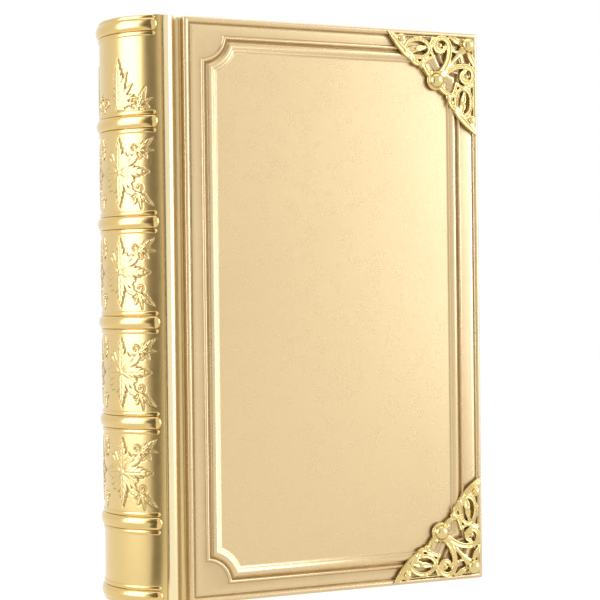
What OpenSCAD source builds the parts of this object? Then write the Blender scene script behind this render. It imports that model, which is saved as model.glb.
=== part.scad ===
// Antique leather book: rounded spine with raised bands, moulded covers on leather joints, pierced brass corners.
// Millimetres. +Z is up, the front cover faces -Y, the spine is at -X and the fore-edge at +X.
// The origin is the middle of the bounding box's base, so the book stands on its tail.

/* [Book] */
// Height of the covers and the spine
book_h = 240; // [210:1:300]
// Width of the front, from the spine's shoulder to the fore-edge
front_w = 147.4; // [125:0.2:190]
// Thickness between the outer planes of the two covers
book_t = 52; // [46:1:62]
// How far the covers stand past the pages
square_w = 3.5; // [2:0.5:5]

/* [Pages] */
// Depth of the hollow in the pages' fore-edge
fore_edge_dip = 4; // [2:0.5:6]
// Thickness of an endpaper
paper_t = 0.3; // [0.2:0.05:0.4]
// Gap between the endpaper on a cover and the flyleaf
leaf_gap = 0.3; // [0.2:0.05:0.5]
// Radius of the silk headbands
headband_r = 1.5; // [1:0.1:1.8]

/* [Spine] */
// Half of the angle that the spine's arc spans
spine_half = 64.5; // [58:0.5:70]
// Thickness of the spine's leather
spine_t = 2; // [1.6:0.1:2.4]
// Thickness of the lining glued to the back of the pages
lining_t = 0.5; // [0.3:0.1:0.8]
// Number of raised bands
band_n = 5; // [3:1:6]
// Distance from the head to the middle of the top band
head_panel = 43.1; // [38:0.1:50]
// Distance from the tail to the middle of the lowest band
tail_panel = 33.7; // [30:0.1:50]
// Distance from each end of the spine to the middle of its cap
cap_inset = 3.8; // [3.2:0.1:5]
// Width of the roll in the middle of a band
roll_w = 5.3; // [4.6:0.1:6.5]
// Height of that roll above the spine
roll_rise = 1.4; // [1:0.1:2]
// Width of the bead on each side of a roll
bead_w = 2; // [1.5:0.1:2.5]
// Height of a bead above the spine
bead_rise = 0.5; // [0.3:0.1:0.7]
// Angle by which the bands stop short of the shoulder
band_stop = 5; // [4:0.5:8]
// Radius of a sewing cord
cord_r = 1.6; // [1.2:0.1:1.8]

/* [Spine ornament] */
// Height of the ornament above the spine
ornament_rise = 0.5; // [0.3:0.1:0.8]
// Length of a rosette's leaves, from its middle
leaf_len = 14.6; // [11:0.1:15]
// Angle from the spine's centre line to the middle of a rosette
rosette_angle = 25; // [20:0.5:28]

/* [Joint] */
// Width of the ridge over the pages' shoulder
ridge_w = 5.6; // [4.5:0.1:7]
// Height of the ridge above the cover's plane
ridge_rise = 0.5; // [0.2:0.1:0.7]
// Width of the groove between the ridge and the cover
groove_w = 3.9; // [3.4:0.1:5]
// Depth of the groove
groove_depth = 2.9; // [2.2:0.1:3.2]
// Thickness of the leather in the groove
joint_t = 1.2; // [0.8:0.1:1.4]
// Gap between the leather in the groove and the cover's edge
joint_gap = 0.3; // [0.2:0.05:0.5]

/* [Covers] */
// Thickness of a cover, leather and board together
cover_t = 5; // [4.4:0.1:7]
// Thickness of the leather on a cover
skin_t = 1.2; // [0.8:0.1:1.4]
// Thickness of the leather turned in behind a cover
turn_in_t = 0.8; // [0.5:0.1:1]
// Width of the leather turned in behind a cover
turn_in_w = 15; // [10:1:20]
// Width of the bead round a cover
rim_w = 2.5; // [2:0.1:3.2]
// Height of that bead
rim_rise = 0.9; // [0.5:0.1:1.1]

/* [Panel frame] */
// Distance from the head and tail of a cover to its panel frame
frame_in_z = 7.1; // [5:0.1:12]
// Distance from a cover's joint edge to its panel frame
frame_in_joint = 7.4; // [5:0.1:12]
// Distance from a cover's fore-edge to its panel frame
frame_in_fore = 8.6; // [5:0.1:12]
// Width of the frame's moulding
frame_w = 6.9; // [5:0.1:9]
// Height of the frame's moulding
frame_rise = 1.1; // [1.1:0.1:1.4]
// Radius of the notch in each corner of the frame
notch_r = 9.8; // [7:0.1:14]

/* [Brass corners] */
// Length of a corner's arms along the cover's edges
corner_arm = 45; // [38:0.5:55]
// Thickness of the scrolls
scroll_t = 1.5; // [1.1:0.1:2]
// Radius of the boss in the cover's corner
boss_r = 3.1; // [2.4:0.1:3.6]
// Radius of the ball at the inner end of the stem
ball_r = 3.4; // [2.6:0.1:3.8]
// Radius of a nail's head
nail_head_r = 1.6; // [1.3:0.1:1.9]
// Radius of a nail's shank
nail_r = 0.5; // [0.4:0.05:0.7]
// Length of a nail's shank
nail_len = 5; // [4:0.1:5.5]
// Distance from an arm's tip to its nail
nail_in = 6.7; // [6:0.1:8]
// Distance from the cover's edge to a nail
nail_edge = 4; // [3.6:0.1:4.6]

/* [Hidden] */
$fn = 96;

// Arc of the spine: it ends on the covers' outer planes
spine_r = book_t / 2 / sin(spine_half);
spine_rise = spine_r * (1 - cos(spine_half));
shoulder_x = (spine_rise + roll_rise - front_w) / 2;
spine_x = shoulder_x + spine_r * cos(spine_half);
fore_x = shoulder_x + front_w;
glue_t = 0.1;
inner_r = spine_r - spine_t;
block_r = inner_r - lining_t - 2 * glue_t;

// Bands and the rounds of their section
band_pitch = (book_h - head_panel - tail_panel) / (band_n - 1);
band_z = [for (i = [0 : band_n - 1]) tail_panel + i * band_pitch];
roll_r = (pow(roll_w / 2, 2) + pow(roll_rise, 2)) / (2 * roll_rise);
bead_r = (pow(bead_w / 2, 2) + pow(bead_rise, 2)) / (2 * bead_rise);
bead_offset = roll_w / 2 + bead_w / 2;
band_room = roll_w / 2 + bead_w + 0.6;
drawn_rise = 0.1;
end_step = band_stop / 4;
band_half = spine_half - band_stop;
cord_fit = 0.05;
cord_path_r = spine_r + roll_rise - spine_t * 0.75 - cord_r;
cord_half = band_half - band_stop;

// Pages and the endpapers beside them
flyleaf_v = cover_t + paper_t + leaf_gap;
block_v = flyleaf_v + paper_t;
half_block = book_t / 2 - block_v;
page_h = book_h - 2 * square_w;
page_x = fore_x - square_w;
ledge_u = ridge_w - 0.6;
fore_edge_r = (pow(half_block, 2) + pow(fore_edge_dip, 2)) / (2 * fore_edge_dip);
band_r = spine_r - spine_t - headband_r - 0.2;

// Joint, in u along the cover from the shoulder and v inwards from the cover's plane
ridge_r = ridge_w * 0.6;
hinge_u = ridge_w + groove_w / 2;
groove_r = groove_w * 0.6;
cover_u = ridge_w + groove_w;

// Covers, drawn flat: x from the joint edge, y from the tail, z from the inside
cover_w = front_w - cover_u;
pastedown_in = 3;

// Brass corners, drawn on a grid with this many steps along an arm, and lying on the cover's mouldings
arm_grid = 45;
step = corner_arm / arm_grid;
plate_z = cover_t + frame_rise;
pad_t = 1;

// Section of the panel frame as shares of its width and height: a bead, a groove and a flat-topped ridge
frame_profile = [
    [0, -0.5], [0, 0], [0.05, 0.5], [0.13, 0.75], [0.21, 0.5], [0.29, 0.06],
    [0.38, 0.3], [0.52, 1], [0.66, 1], [0.82, 0.4], [1, 0], [1, -0.5]
];
// Section of the bead round a cover, in the same shares
rim_profile = [[0, -0.5], [0, 0.1], [0.14, 0.66], [0.42, 1], [0.7, 0.8], [0.9, 0.4], [1, 0], [1, -0.5]];
// Crowned section of a scroll as shares of its width and height
scroll_profile = [[-0.5, 0], [-0.26, 1], [0.26, 1], [0.5, 0]];

function scaled(profile, w, h) = [for (p = profile) [p.x * w, p.y * h]];

// Triangles of a skin stretched over rings of n points each, from ring a to ring b
function skin(a, b, n) = [
    for (j = [0 : n - 1])
        let (k = (j + 1) % n)
            each [[a * n + j, a * n + k, b * n + k], [a * n + j, b * n + k, b * n + j]]
];

// Outline of a rectangle set in by s, each corner notched by a quarter circle, or mitred where notch is 0
function corner_run(s, notch, steps) =
    notch == 0 ? [[s, s]] :
    let (r = notch + s, seam = asin(s / r))
        [for (k = [0 : steps]) let (a = 90 - seam - k * (90 - 2 * seam) / steps) [r * cos(a), r * sin(a)]];

function inset_outline(size, s, notch, steps) = [
    for (p = corner_run(s, notch, steps)) p,
    for (p = corner_run(s, notch, steps)) [size.x - p.y, p.x],
    for (p = corner_run(s, notch, steps)) [size.x - p.x, size.y - p.y],
    for (p = corner_run(s, notch, steps)) [p.y, size.y - p.x]
];

// A closed moulding of the given section, set in from the edges of a rectangle
module moulding(size, notch, section, steps) {
    n = len(section);
    outlines = [for (p = section) inset_outline(size, p.x, notch, steps)];
    rings = len(outlines[0]);
    polyhedron(
        points = [for (i = [0 : rings - 1]) for (j = [0 : n - 1]) [outlines[j][i].x, outlines[j][i].y, section[j].y]],
        faces = [for (i = [0 : rings - 1]) each skin(i, (i + 1) % rings, n)]
    );
}

// Points on a quadratic curve from a to c, pulled towards b
function bend(a, b, c, steps) = [
    for (k = [0 : steps]) let (t = k / steps) a * (1 - t) * (1 - t) + b * 2 * t * (1 - t) + c * t * t
];

// Points on a spiral about c, from angle a0 and radius r0 to angle a1 and radius r1
function spiral(c, r0, r1, a0, a1, steps) = [
    for (k = [0 : steps])
        let (t = k / steps, a = a0 + t * (a1 - a0), r = r0 + t * (r1 - r0)) c + r * [cos(a), sin(a)]
];

function heading(path, i, closed) =
    let (
        n = len(path),
        after = closed ? path[(i + 1) % n] : path[min(i + 1, n - 1)],
        before = closed ? path[(i + n - 1) % n] : path[max(i - 1, 0)]
    )
        (after - before) / norm(after - before);

// Points of a half-round scroll along a flat path, its width running from w0 through w1 to w2
function scroll_points(path, w0, w1, w2, h, closed) = [
    for (i = [0 : len(path) - 1])
        let (
            t = i / (len(path) - 1),
            w = t < 0.5 ? w0 + (w1 - w0) * 2 * t : w1 + (w2 - w1) * (2 * t - 1),
            d = heading(path, i, closed)
        )
            for (p = scroll_profile) [path[i].x - d.y * p.x * w, path[i].y + d.x * p.x * w, p.y * h]
];

module scroll(path, w0, w1, w2, h) {
    n = len(scroll_profile);
    last = len(path) - 1;
    polyhedron(
        points = scroll_points(path, w0, w1, w2, h, false),
        faces = [
            for (i = [0 : last - 1]) each skin(i, i + 1, n),
            [for (j = [0 : n - 1]) n - 1 - j],
            [for (j = [0 : n - 1]) last * n + j]
        ]
    );
}

// The same along a closed path, all one width
module scroll_loop(path, w, h) {
    n = len(scroll_profile);
    last = len(path) - 1;
    polyhedron(
        points = scroll_points(path, w, w, w, h, true),
        faces = [for (i = [0 : last]) each skin(i, (i + 1) % (last + 1), n)]
    );
}

// Places a drawing of the joint, u along the cover and v inwards, on the front side
module joint_plane() {
    translate([shoulder_x, -book_t / 2])
        children();
}

module back_side() {
    mirror([0, 1, 0])
        children();
}

// Places a cover drawn flat on the front of the book
module cover_plane() {
    translate([shoulder_x + cover_u, cover_t - book_t / 2, 0])
        rotate([90, 0, 0])
            children();
}

// Outline of the pages' rounded back with its two shoulders, grown outwards by grow
module back_outline(grow) {
    r = block_r + grow;
    ledge = [shoulder_x + ledge_u, half_block];
    past = 2 * [spine_x - r * cos(spine_half), r * sin(spine_half)] - ledge;
    intersection() {
        translate([spine_x, 0])
            circle(r = r);
        polygon([
            [ledge.x, -ledge.y],
            [past.x, -past.y],
            [-spine_r * 4, -past.y],
            [-spine_r * 4, past.y],
            past,
            ledge
        ]);
    }
}

// An arc of the spine: the children's section, x from the spine's centre line and y up, turned round it
module round_spine(half) {
    translate([spine_x, 0, 0])
        rotate([0, 0, 180 - half])
            rotate_extrude(angle = 2 * half)
                children();
}

// The kerfs that the sewing cords lie in
module cord_kerfs() {
    kerf = cord_r + cord_fit;
    round_spine(cord_half + 1)
        for (z = band_z)
            translate([cord_path_r - kerf, z - kerf])
                square(2 * kerf);
}

module text_block() {
    color("antiquewhite")
        difference() {
            translate([0, 0, square_w])
                linear_extrude(page_h)
                    difference() {
                        union() {
                            back_outline(0);
                            translate([shoulder_x + ledge_u, -half_block])
                                square([page_x - shoulder_x - ledge_u, 2 * half_block]);
                        }
                        translate([page_x + fore_edge_r - fore_edge_dip, 0])
                            circle(r = fore_edge_r);
                    }
            cord_kerfs();
        }
}

module spine_lining() {
    color("tan")
        difference() {
            round_spine(band_half)
                translate([block_r + glue_t, square_w])
                    square([lining_t, page_h]);
            cord_kerfs();
        }
}

module sewing_cords() {
    color("burlywood")
        round_spine(cord_half)
            for (z = band_z)
                translate([cord_path_r, z])
                    circle(r = cord_r);
}

// A worked silk roll on the pages' end, flat where it sits, its middle at height z
module silk_band(z, up) {
    color("indianred")
        round_spine(cord_half)
            intersection() {
                translate([band_r, z + up * headband_r * 0.7])
                    circle(r = headband_r);
                translate([band_r - headband_r, min(z, z + up * 2 * headband_r)])
                    square([2 * headband_r, 2 * headband_r]);
            }
}

module headband() {
    silk_band(book_h - square_w, 1);
}

module tailband() {
    silk_band(square_w, -1);
}

module front_flyleaf() {
    color("ivory")
        translate([shoulder_x + ledge_u, -book_t / 2 + flyleaf_v, square_w])
            cube([page_x - shoulder_x - ledge_u, paper_t, page_h]);
}

module back_flyleaf() {
    back_side()
        front_flyleaf();
}

// Section of the bands and caps: at each height a roll between two beads, the roll as a share of its full size
module band_sections(share) {
    rise = roll_rise * share;
    intersection() {
        for (z = concat([cap_inset, book_h - cap_inset], band_z)) {
            translate([spine_r + rise - roll_r, z])
                circle(r = roll_r);
            if (share == 1)
                for (side = [-1, 1])
                    translate([spine_r + bead_rise - bead_r, z + side * bead_offset])
                        circle(r = bead_r);
        }
        translate([spine_r - spine_t / 2, 0])
            square([2 * spine_t + roll_rise, book_h]);
    }
}

// The bands round off towards the shoulder in three steps, each lower and longer than the last
module bands() {
    round_spine(band_half)
        band_sections(1);
    round_spine(band_half + end_step)
        band_sections(0.85);
    round_spine(band_half + 2 * end_step)
        band_sections(0.5);
}

// Section of the ridge of leather that a cover's joint starts from
module ridge_outline() {
    joint_plane()
        intersection() {
            union() {
                translate([ridge_w / 2, ridge_r - ridge_rise])
                    circle(r = ridge_r);
                translate([-ridge_w / 4, ridge_r - ridge_rise])
                    square([ridge_w * 2, cover_t]);
            }
            translate([-ridge_w, -ridge_w])
                square([2 * ridge_w, ridge_w + cover_t]);
        }
}

// Section of the spine's bare arc, from radius r0 to r1
module arc_outline(r0, r1) {
    reach = 2 * spine_r;
    translate([spine_x, 0])
        intersection() {
            difference() {
                circle(r = r1);
                circle(r = r0);
            }
            polygon([[0, 0], [-reach, -reach * tan(spine_half)], [-reach, reach * tan(spine_half)]]);
        }
}

// The spine's leather with its two ridges, round the pages' back; it is a little thicker where it is drawn over a band
module plain_spine() {
    linear_extrude(book_h)
        difference() {
            union() {
                arc_outline(inner_r - 1, spine_r);
                ridge_outline();
                back_side()
                    ridge_outline();
            }
            back_outline(inner_r - block_r);
        }
    for (z = concat([cap_inset, book_h - cap_inset], band_z)) {
        low = max(z - band_room, 0);
        translate([0, 0, low])
            linear_extrude(min(z + band_room, book_h) - low)
                arc_outline(spine_r - spine_t / 2, spine_r + drawn_rise);
    }
}

// Half-width of a leaf as a share of its widest, at t from its root to its tip
function leaf_swell(t) = sin(180 * pow(t, 0.75));

// A pointed leaf from the origin towards +y, its edge cut into teeth
module leaf(length, width, teeth) {
    side = [
        for (k = [1 : 2 * teeth - 1])
            let (t = k / (2 * teeth)) [width / 2 * leaf_swell(t) * (k % 2 == 1 ? 1 : 0.72), length * t]
    ];
    polygon(concat(
        [[0, -0.3]],
        side,
        [[0, length]],
        [for (k = [len(side) - 1 : -1 : 0]) [-side[k].x, side[k].y]]
    ));
}

// Four toothed leaves, with plain rays between them; the leaf towards the spine's centre line, at -x, stops short of it
module rosette() {
    centre_leaf = min(leaf_len, spine_r * rosette_angle * PI / 180 - 0.6);
    for (a = [0 : 90 : 270])
        rotate(a)
            leaf(a == 90 ? centre_leaf : leaf_len, leaf_len * 0.36, 3);
    for (a = [0 : 90 : 270])
        for (turn = [28, 45, 62])
            rotate(a + turn)
                leaf(leaf_len * (turn == 45 ? 0.62 : 0.72), leaf_len * 0.16, 1);
    circle(r = leaf_len * 0.12);
}

// A small sprig of three leaves towards +y
module sprig(length) {
    for (turn = [-38, 0, 38])
        rotate(turn)
            leaf(length * (turn == 0 ? 1 : 0.8), length * 0.3, 1);
    circle(r = length * 0.07);
}

// A tall leaf between two side leaves on each side, standing on its root
module palmette(height) {
    leaf(height, height * 0.3, 4);
    for (side = [-1, 1]) {
        rotate(side * 24)
            leaf(height * 0.6, height * 0.15, 1);
        rotate(side * 50)
            leaf(height * 0.5, height * 0.14, 1);
    }
    circle(r = height * 0.05);
}

// Stands a flat drawing on the spine at an angle from its centre line, as a block through its surface
module on_spine(angle, z) {
    translate([spine_x, 0, z])
        rotate([0, 0, 180 + angle])
            rotate([90, 0, 90])
                translate([0, 0, spine_r * 0.8])
                    linear_extrude(spine_r * 0.3)
                        children();
}

// Ornament of one panel of the spine, between two bands: a pair of rosettes with sprigs in the corners
module rosette_panel(z) {
    sprig_angle = 2 * rosette_angle - 1;
    sprig_z = band_pitch / 2 - band_room - 1;
    for (side = [-1, 1])
        on_spine(side * rosette_angle, z)
            mirror([side == 1 ? 0 : 1, 0])
                rosette();
    for (end = [-1, 1]) {
        on_spine(0, z + end * sprig_z)
            rotate(90 + end * 90)
                sprig(leaf_len * 0.42);
        for (side = [-1, 1])
            on_spine(side * sprig_angle, z + end * sprig_z)
                rotate(90 + end * (90 + side * 45))
                    sprig(leaf_len * 0.48);
    }
}

module spine_ornament() {
    panel_z = [for (i = [0 : band_n - 2]) (band_z[i] + band_z[i + 1]) / 2];
    head_z = book_h - head_panel + band_room + 1;
    intersection() {
        translate([spine_x, 0, 0])
            difference() {
                cylinder(r = spine_r + ornament_rise, h = book_h);
                translate([0, 0, -1])
                    cylinder(r = spine_r - ornament_rise, h = book_h + 2);
            }
        union() {
            for (z = panel_z)
                rosette_panel(z);
            for (side = [-1, 1])
                on_spine(side * rosette_angle, head_z)
                    palmette(head_panel * 0.6);
        }
    }
}

module spine_leather() {
    color("goldenrod")
        difference() {
            union() {
                plain_spine();
                bands();
                spine_ornament();
            }
            cord_kerfs();
        }
}

// The hollow leather strip at the bottom of the groove
module front_joint() {
    color("darkgoldenrod")
        linear_extrude(book_h)
            joint_plane()
                difference() {
                    translate([ridge_w, groove_depth - groove_r])
                        square([groove_w - joint_gap, groove_r + joint_t]);
                    translate([hinge_u, groove_depth - groove_r])
                        circle(r = groove_r);
                }
}

module back_joint() {
    back_side()
        front_joint();
}

module front_board() {
    color("peru")
        cover_plane()
            difference() {
                translate([skin_t, skin_t, turn_in_t])
                    cube([cover_w - 2 * skin_t, book_h - 2 * skin_t, cover_t - skin_t - turn_in_t]);
                nail_holes();
            }
}

// Where each nail stands, as places on the cover drawn flat
function nail_places() = [
    for (end = [0, 1])
        for (p = [[corner_arm - nail_in, nail_edge], [nail_edge, corner_arm - nail_in]])
            [cover_w - p.x, end == 0 ? p.y : book_h - p.y]
];

module nail_holes() {
    for (p = nail_places())
        translate([p.x, p.y, plate_z + pad_t - nail_len])
            cylinder(r = nail_r + cord_fit, h = nail_len + 1);
}

module front_cover() {
    frame_x = frame_in_joint + frame_in_fore;
    color("gold")
        cover_plane()
            difference() {
                union() {
                    cube([cover_w, book_h, cover_t]);
                    translate([0, 0, cover_t])
                        moulding([cover_w, book_h], 0, scaled(rim_profile, rim_w, rim_rise), 0);
                    translate([frame_in_joint, frame_in_z, cover_t])
                        moulding(
                            [cover_w - frame_x, book_h - 2 * frame_in_z],
                            notch_r,
                            scaled(frame_profile, frame_w, frame_rise),
                            6
                        );
                }
                translate([skin_t, skin_t, turn_in_t])
                    cube([cover_w - 2 * skin_t, book_h - 2 * skin_t, cover_t - skin_t - turn_in_t]);
                translate([turn_in_w, turn_in_w, -1])
                    cube([cover_w - 2 * turn_in_w, book_h - 2 * turn_in_w, turn_in_t + 2]);
                nail_holes();
            }
}

module front_pastedown() {
    color("cornsilk")
        cover_plane() {
            translate([1, pastedown_in, -paper_t])
                cube([cover_w - pastedown_in - 1, book_h - 2 * pastedown_in, paper_t]);
            translate([turn_in_w, turn_in_w, -paper_t / 2])
                cube([cover_w - 2 * turn_in_w, book_h - 2 * turn_in_w, turn_in_t + paper_t / 2]);
        }
}

module front_top_corner() {
    color("gold")
        cover_plane()
            translate([cover_w, book_h, plate_z])
                mirror([1, 0, 0])
                    mirror([0, 1, 0])
                        brass_corner();
}

module front_bottom_corner() {
    color("gold")
        cover_plane()
            translate([cover_w, 0, plate_z])
                mirror([1, 0, 0])
                    brass_corner();
}

// Swaps x and y, which turns one arm of a corner into the other
module across_diagonal() {
    multmatrix([[0, 1, 0, 0], [1, 0, 0, 0], [0, 0, 1, 0], [0, 0, 0, 1]])
        children();
}

// A low dome with a round top
module dome(r, h) {
    rotate_extrude($fn = 8)
        polygon([[0, 0], [r, 0], [r * 0.7, h * 0.75], [0, h]]);
}

// A ball whose middle is lifted above the foot that it is cut off at
module ball_on_foot(r, lift) {
    rotate_extrude($fn = 14)
        intersection() {
            translate([0, lift])
                circle(r = r, $fn = 14);
            square([r, r + lift]);
        }
}

// A drop-shaped leaf from its round end at p to its point at q
module drop(p, q, r, h) {
    hull() {
        translate(step * p)
            dome(step * r, h);
        translate(step * q)
            dome(step * r * 0.35, h * 0.6);
    }
}

// The scrolls of one arm: x along the cover's edge and y in from it, from the cover's corner
module arm_scrolls() {
    ring = step * [19, 6.6];
    oval = step * [30.5, 8];
    turns = spiral(ring, step * 4.2, step * 1.5, 180, 570, 10);
    stem_side = bend(step * [20.4, 19.4], step * [14.3, 13.5], turns[0], 4);

    // The long scroll leaves the ball, runs up beside the stem and curls into a ring
    scroll(concat(stem_side, [for (k = [1 : len(turns) - 1]) turns[k]]), 2.5, 1.8, 1.2, scroll_t);
    drop([19.6, 6.4], [18.2, 7.6], 1.3, scroll_t);

    // The oval scroll beyond it holds a leaf
    scroll_loop([for (a = [0 : 36 : 324]) oval + step * [5.9 * cos(a), 3.8 * sin(a)]], 1.4, scroll_t);
    drop([32, 8.4], [25.2, 7], 1.7, scroll_t);

    // Two ties join the ring and the oval
    scroll(bend(step * [22.4, 3.2], step * [25.6, 7.4], step * [22.2, 11.4], 4), 1.3, 1.2, 1.3, scroll_t * 0.9);
    scroll(bend(step * [22.2, 11.2], step * [25.5, 12], step * [28.2, 13.6], 3), 1.5, 1.4, 1.4, scroll_t * 0.9);

    // The scalloped inner edge: two lobes and a curl beside the ball
    scroll(bend(step * [23.4, 20], step * [26.4, 18.6], step * [27.8, 13.6], 4), 1.8, 1.5, 1.6, scroll_t);
    drop([26.3, 18.3], [23.2, 18.6], 1.6, scroll_t * 1.05);
    drop([28.4, 15.2], [25.6, 15.4], 1.4, scroll_t * 0.95);
    scroll(bend(step * [27.6, 13.4], step * [31, 16.6], step * [34.2, 11.4], 5), 1.6, 1.4, 1.6, scroll_t);

    // The long blade sweeps out to the arm's tip
    scroll(bend(step * [33.4, 12.4], step * [38.4, 8.6], step * [44.6, 0.9], 7), 2, 2.4, 0.9, scroll_t);
    drop([37.2, 7.6], [40.4, 4.2], 1.2, scroll_t * 0.8);

    // A straight bar follows the cover's edge
    scroll([step * [1.4, 1.4], step * [44, 1]], 1.5, 1.4, 1, scroll_t * 0.7);

    // A leaf fills the space between the boss and the ring
    drop([9.4, 4.8], [14.8, 1.9], 1.3, scroll_t * 0.9);

    // The flat eyelet that the nail's head sits on
    translate([corner_arm - nail_in, nail_edge, 0])
        cylinder(r = nail_head_r + 0.5, h = pad_t, $fn = 12);
}

module brass_corner() {
    boss = step * [5.6, 5.6];
    ball = step * [21.6, 21.6];
    difference() {
        union() {
            arm_scrolls();
            across_diagonal()
                arm_scrolls();
            // The stem swells from a narrow neck to the boss and to the ball
            scroll([boss, step * [9, 9], step * [13, 13]], 5, 3.4, 2.4, scroll_t * 1.1);
            scroll([step * [13, 13], step * [17, 17], ball], 2.4, 3.2, 5, scroll_t * 1.1);
            translate(boss)
                ball_on_foot(boss_r, boss_r * 0.3);
            translate(ball)
                ball_on_foot(ball_r, ball_r * 0.25);
            translate(step * [1.5, 1.5])
                dome(step * 1.3, scroll_t);
        }
        for (p = [[corner_arm - nail_in, nail_edge], [nail_edge, corner_arm - nail_in]])
            translate([p.x, p.y, -1])
                cylinder(r = nail_r * 1.3, h = 2 * scroll_t + 1, $fn = 8);
    }
}

// Four round-headed nails, two to each brass corner
module front_nails() {
    head_h = nail_head_r * 0.75;
    color("khaki")
        cover_plane()
            for (p = nail_places())
                translate([p.x, p.y, plate_z + pad_t]) {
                    translate([0, 0, -nail_len])
                        cylinder(r = nail_r, h = nail_len + head_h / 2);
                    rotate_extrude()
                        intersection() {
                            translate([0, head_h - nail_head_r])
                                circle(r = nail_head_r * 1.05);
                            square([nail_head_r, head_h * 1.2]);
                        }
                }
}

module back_board() {
    back_side()
        front_board();
}

module back_cover() {
    back_side()
        front_cover();
}

module back_pastedown() {
    back_side()
        front_pastedown();
}

module back_top_corner() {
    back_side()
        front_top_corner();
}

module back_bottom_corner() {
    back_side()
        front_bottom_corner();
}

module back_nails() {
    back_side()
        front_nails();
}

text_block();
spine_lining();
sewing_cords();
headband();
tailband();
front_flyleaf();
back_flyleaf();
spine_leather();
front_joint();
back_joint();
front_board();
front_cover();
front_pastedown();
front_top_corner();
front_bottom_corner();
front_nails();
back_board();
back_cover();
back_pastedown();
back_top_corner();
back_bottom_corner();
back_nails();
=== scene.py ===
# %% [markdown]
# # A gilded leather book with raised bands and brass corners
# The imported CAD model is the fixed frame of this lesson: it says where each part is and how it moves.
# Each cell below dresses one part of it. A part is either given a material, or replaced by a finer piece.
# Everything is worked out in millimetres, as a bookbinder would, and turned into metres when a mesh is made.

# %% Load the frame
import math

import bpy
import numpy as np
from mathutils import Matrix, Vector


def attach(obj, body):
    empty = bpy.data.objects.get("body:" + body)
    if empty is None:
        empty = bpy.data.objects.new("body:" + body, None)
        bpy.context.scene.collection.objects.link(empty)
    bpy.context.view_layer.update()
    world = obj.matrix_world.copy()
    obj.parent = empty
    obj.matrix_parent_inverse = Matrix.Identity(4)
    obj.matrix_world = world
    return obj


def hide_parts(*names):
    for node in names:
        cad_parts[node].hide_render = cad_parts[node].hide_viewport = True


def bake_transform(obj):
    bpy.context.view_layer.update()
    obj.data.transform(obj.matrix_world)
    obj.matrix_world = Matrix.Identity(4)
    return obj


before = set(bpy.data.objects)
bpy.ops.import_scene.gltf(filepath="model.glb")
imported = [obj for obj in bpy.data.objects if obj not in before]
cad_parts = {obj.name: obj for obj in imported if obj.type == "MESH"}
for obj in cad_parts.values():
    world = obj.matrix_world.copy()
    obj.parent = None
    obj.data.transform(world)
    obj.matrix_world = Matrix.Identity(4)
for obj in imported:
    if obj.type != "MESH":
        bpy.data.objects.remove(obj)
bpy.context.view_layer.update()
scene = bpy.context.scene

# %% [markdown]
# ## Sizes
# The pieces have to lie where the CAD solids lie, so its sizes are repeated here once.
# The spine is an arc, and a place on it is an angle from its centre line and a height.
# A cover is drawn flat, x from the joint, y from the tail and z from its inside, and is then stood up.

# %% Sizes of the book, in millimetres
MM = 0.001
BOOK_H, BOOK_T, FRONT_W = 240.0, 52.0, 147.4
SPINE_HALF, SPINE_LEATHER, ROLL_W, ROLL_RISE = 64.5, 2.0, 5.3, 1.4
BEAD_W, BEAD_RISE, BAND_HALF = 2.0, 0.5, 59.5
SPINE_R = BOOK_T / 2 / math.sin(math.radians(SPINE_HALF))
SHOULDER_X = (SPINE_R * (1 - math.cos(math.radians(SPINE_HALF))) + ROLL_RISE - FRONT_W) / 2
SPINE_X = SHOULDER_X + SPINE_R * math.cos(math.radians(SPINE_HALF))
INNER_R = SPINE_R - SPINE_LEATHER
BAND_Z = [33.7 + 40.8 * i for i in range(5)]
CAP_Z = [3.8, BOOK_H - 3.8]
RIDGE_W, RIDGE_RISE, GROOVE_W, GROOVE_DEPTH = 5.6, 0.5, 3.9, 2.9
COVER_U, COVER_T = RIDGE_W + GROOVE_W, 5.0
COVER_W = FRONT_W - COVER_U
PLATE_Z = COVER_T + 1.1
print("spine radius %.2f, shoulder at x %.2f, cover %.1f wide" % (SPINE_R, SHOULDER_X, COVER_W))

# %% [markdown]
# ## Making a mesh
# Each piece is a list of points and faces, so one helper turns those into an object.
# Its place is in its points, and the object stays at the origin, where the coordinates of its pattern start.
# Faces are shaded smooth, and an edge that is sharper than a given angle is marked as a crease.

# %% Helpers for meshes
def new_object(name, data):
    """Adds an object to the scene."""
    made = bpy.data.objects.new(name, data)
    scene.collection.objects.link(made)
    return made


def smoothed(mesh, crease):
    """Shades a mesh smooth, up to edges that are sharper than an angle in degrees."""
    mesh.polygons.foreach_set("use_smooth", np.ones(len(mesh.polygons), bool))
    mesh.set_sharp_from_angle(angle=math.radians(crease))


def make_piece(name, points, faces, crease=35, recess=None):
    """A smooth mesh from points in millimetres; recess, 0 to 1, is how much painted shade each point gets for
    lying in a hollow.
    """
    mesh = bpy.data.meshes.new(name)
    mesh.from_pydata((np.asarray(points, float) * MM).tolist(), [], [tuple(int(i) for i in f) for f in faces])
    smoothed(mesh, crease)
    if recess is not None:
        layer = mesh.attributes.new("recess", "FLOAT", "POINT")
        layer.data.foreach_set("value", np.clip(np.asarray(recess, np.float32), 0, 1))
    return new_object(name, mesh)


def grid_faces(rows, columns, close=False):
    """Quads between rows of points; close joins the last point of each row to its first."""
    i, j = np.meshgrid(np.arange(rows - 1), np.arange(columns - (0 if close else 1)), indexing="ij")
    k, near, far = (j + 1) % columns, i * columns, (i + 1) * columns
    return [tuple(face) for face in np.stack([near + j, near + k, far + k, far + j], -1).reshape(-1, 4)]


def closed_faces(rows, columns):
    """The skin of a bar from rows of points round it, with a face over each end."""
    ends = [tuple(range(columns))[::-1], tuple(range((rows - 1) * columns, rows * columns))]
    return grid_faces(rows, columns, close=True) + ends


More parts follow.
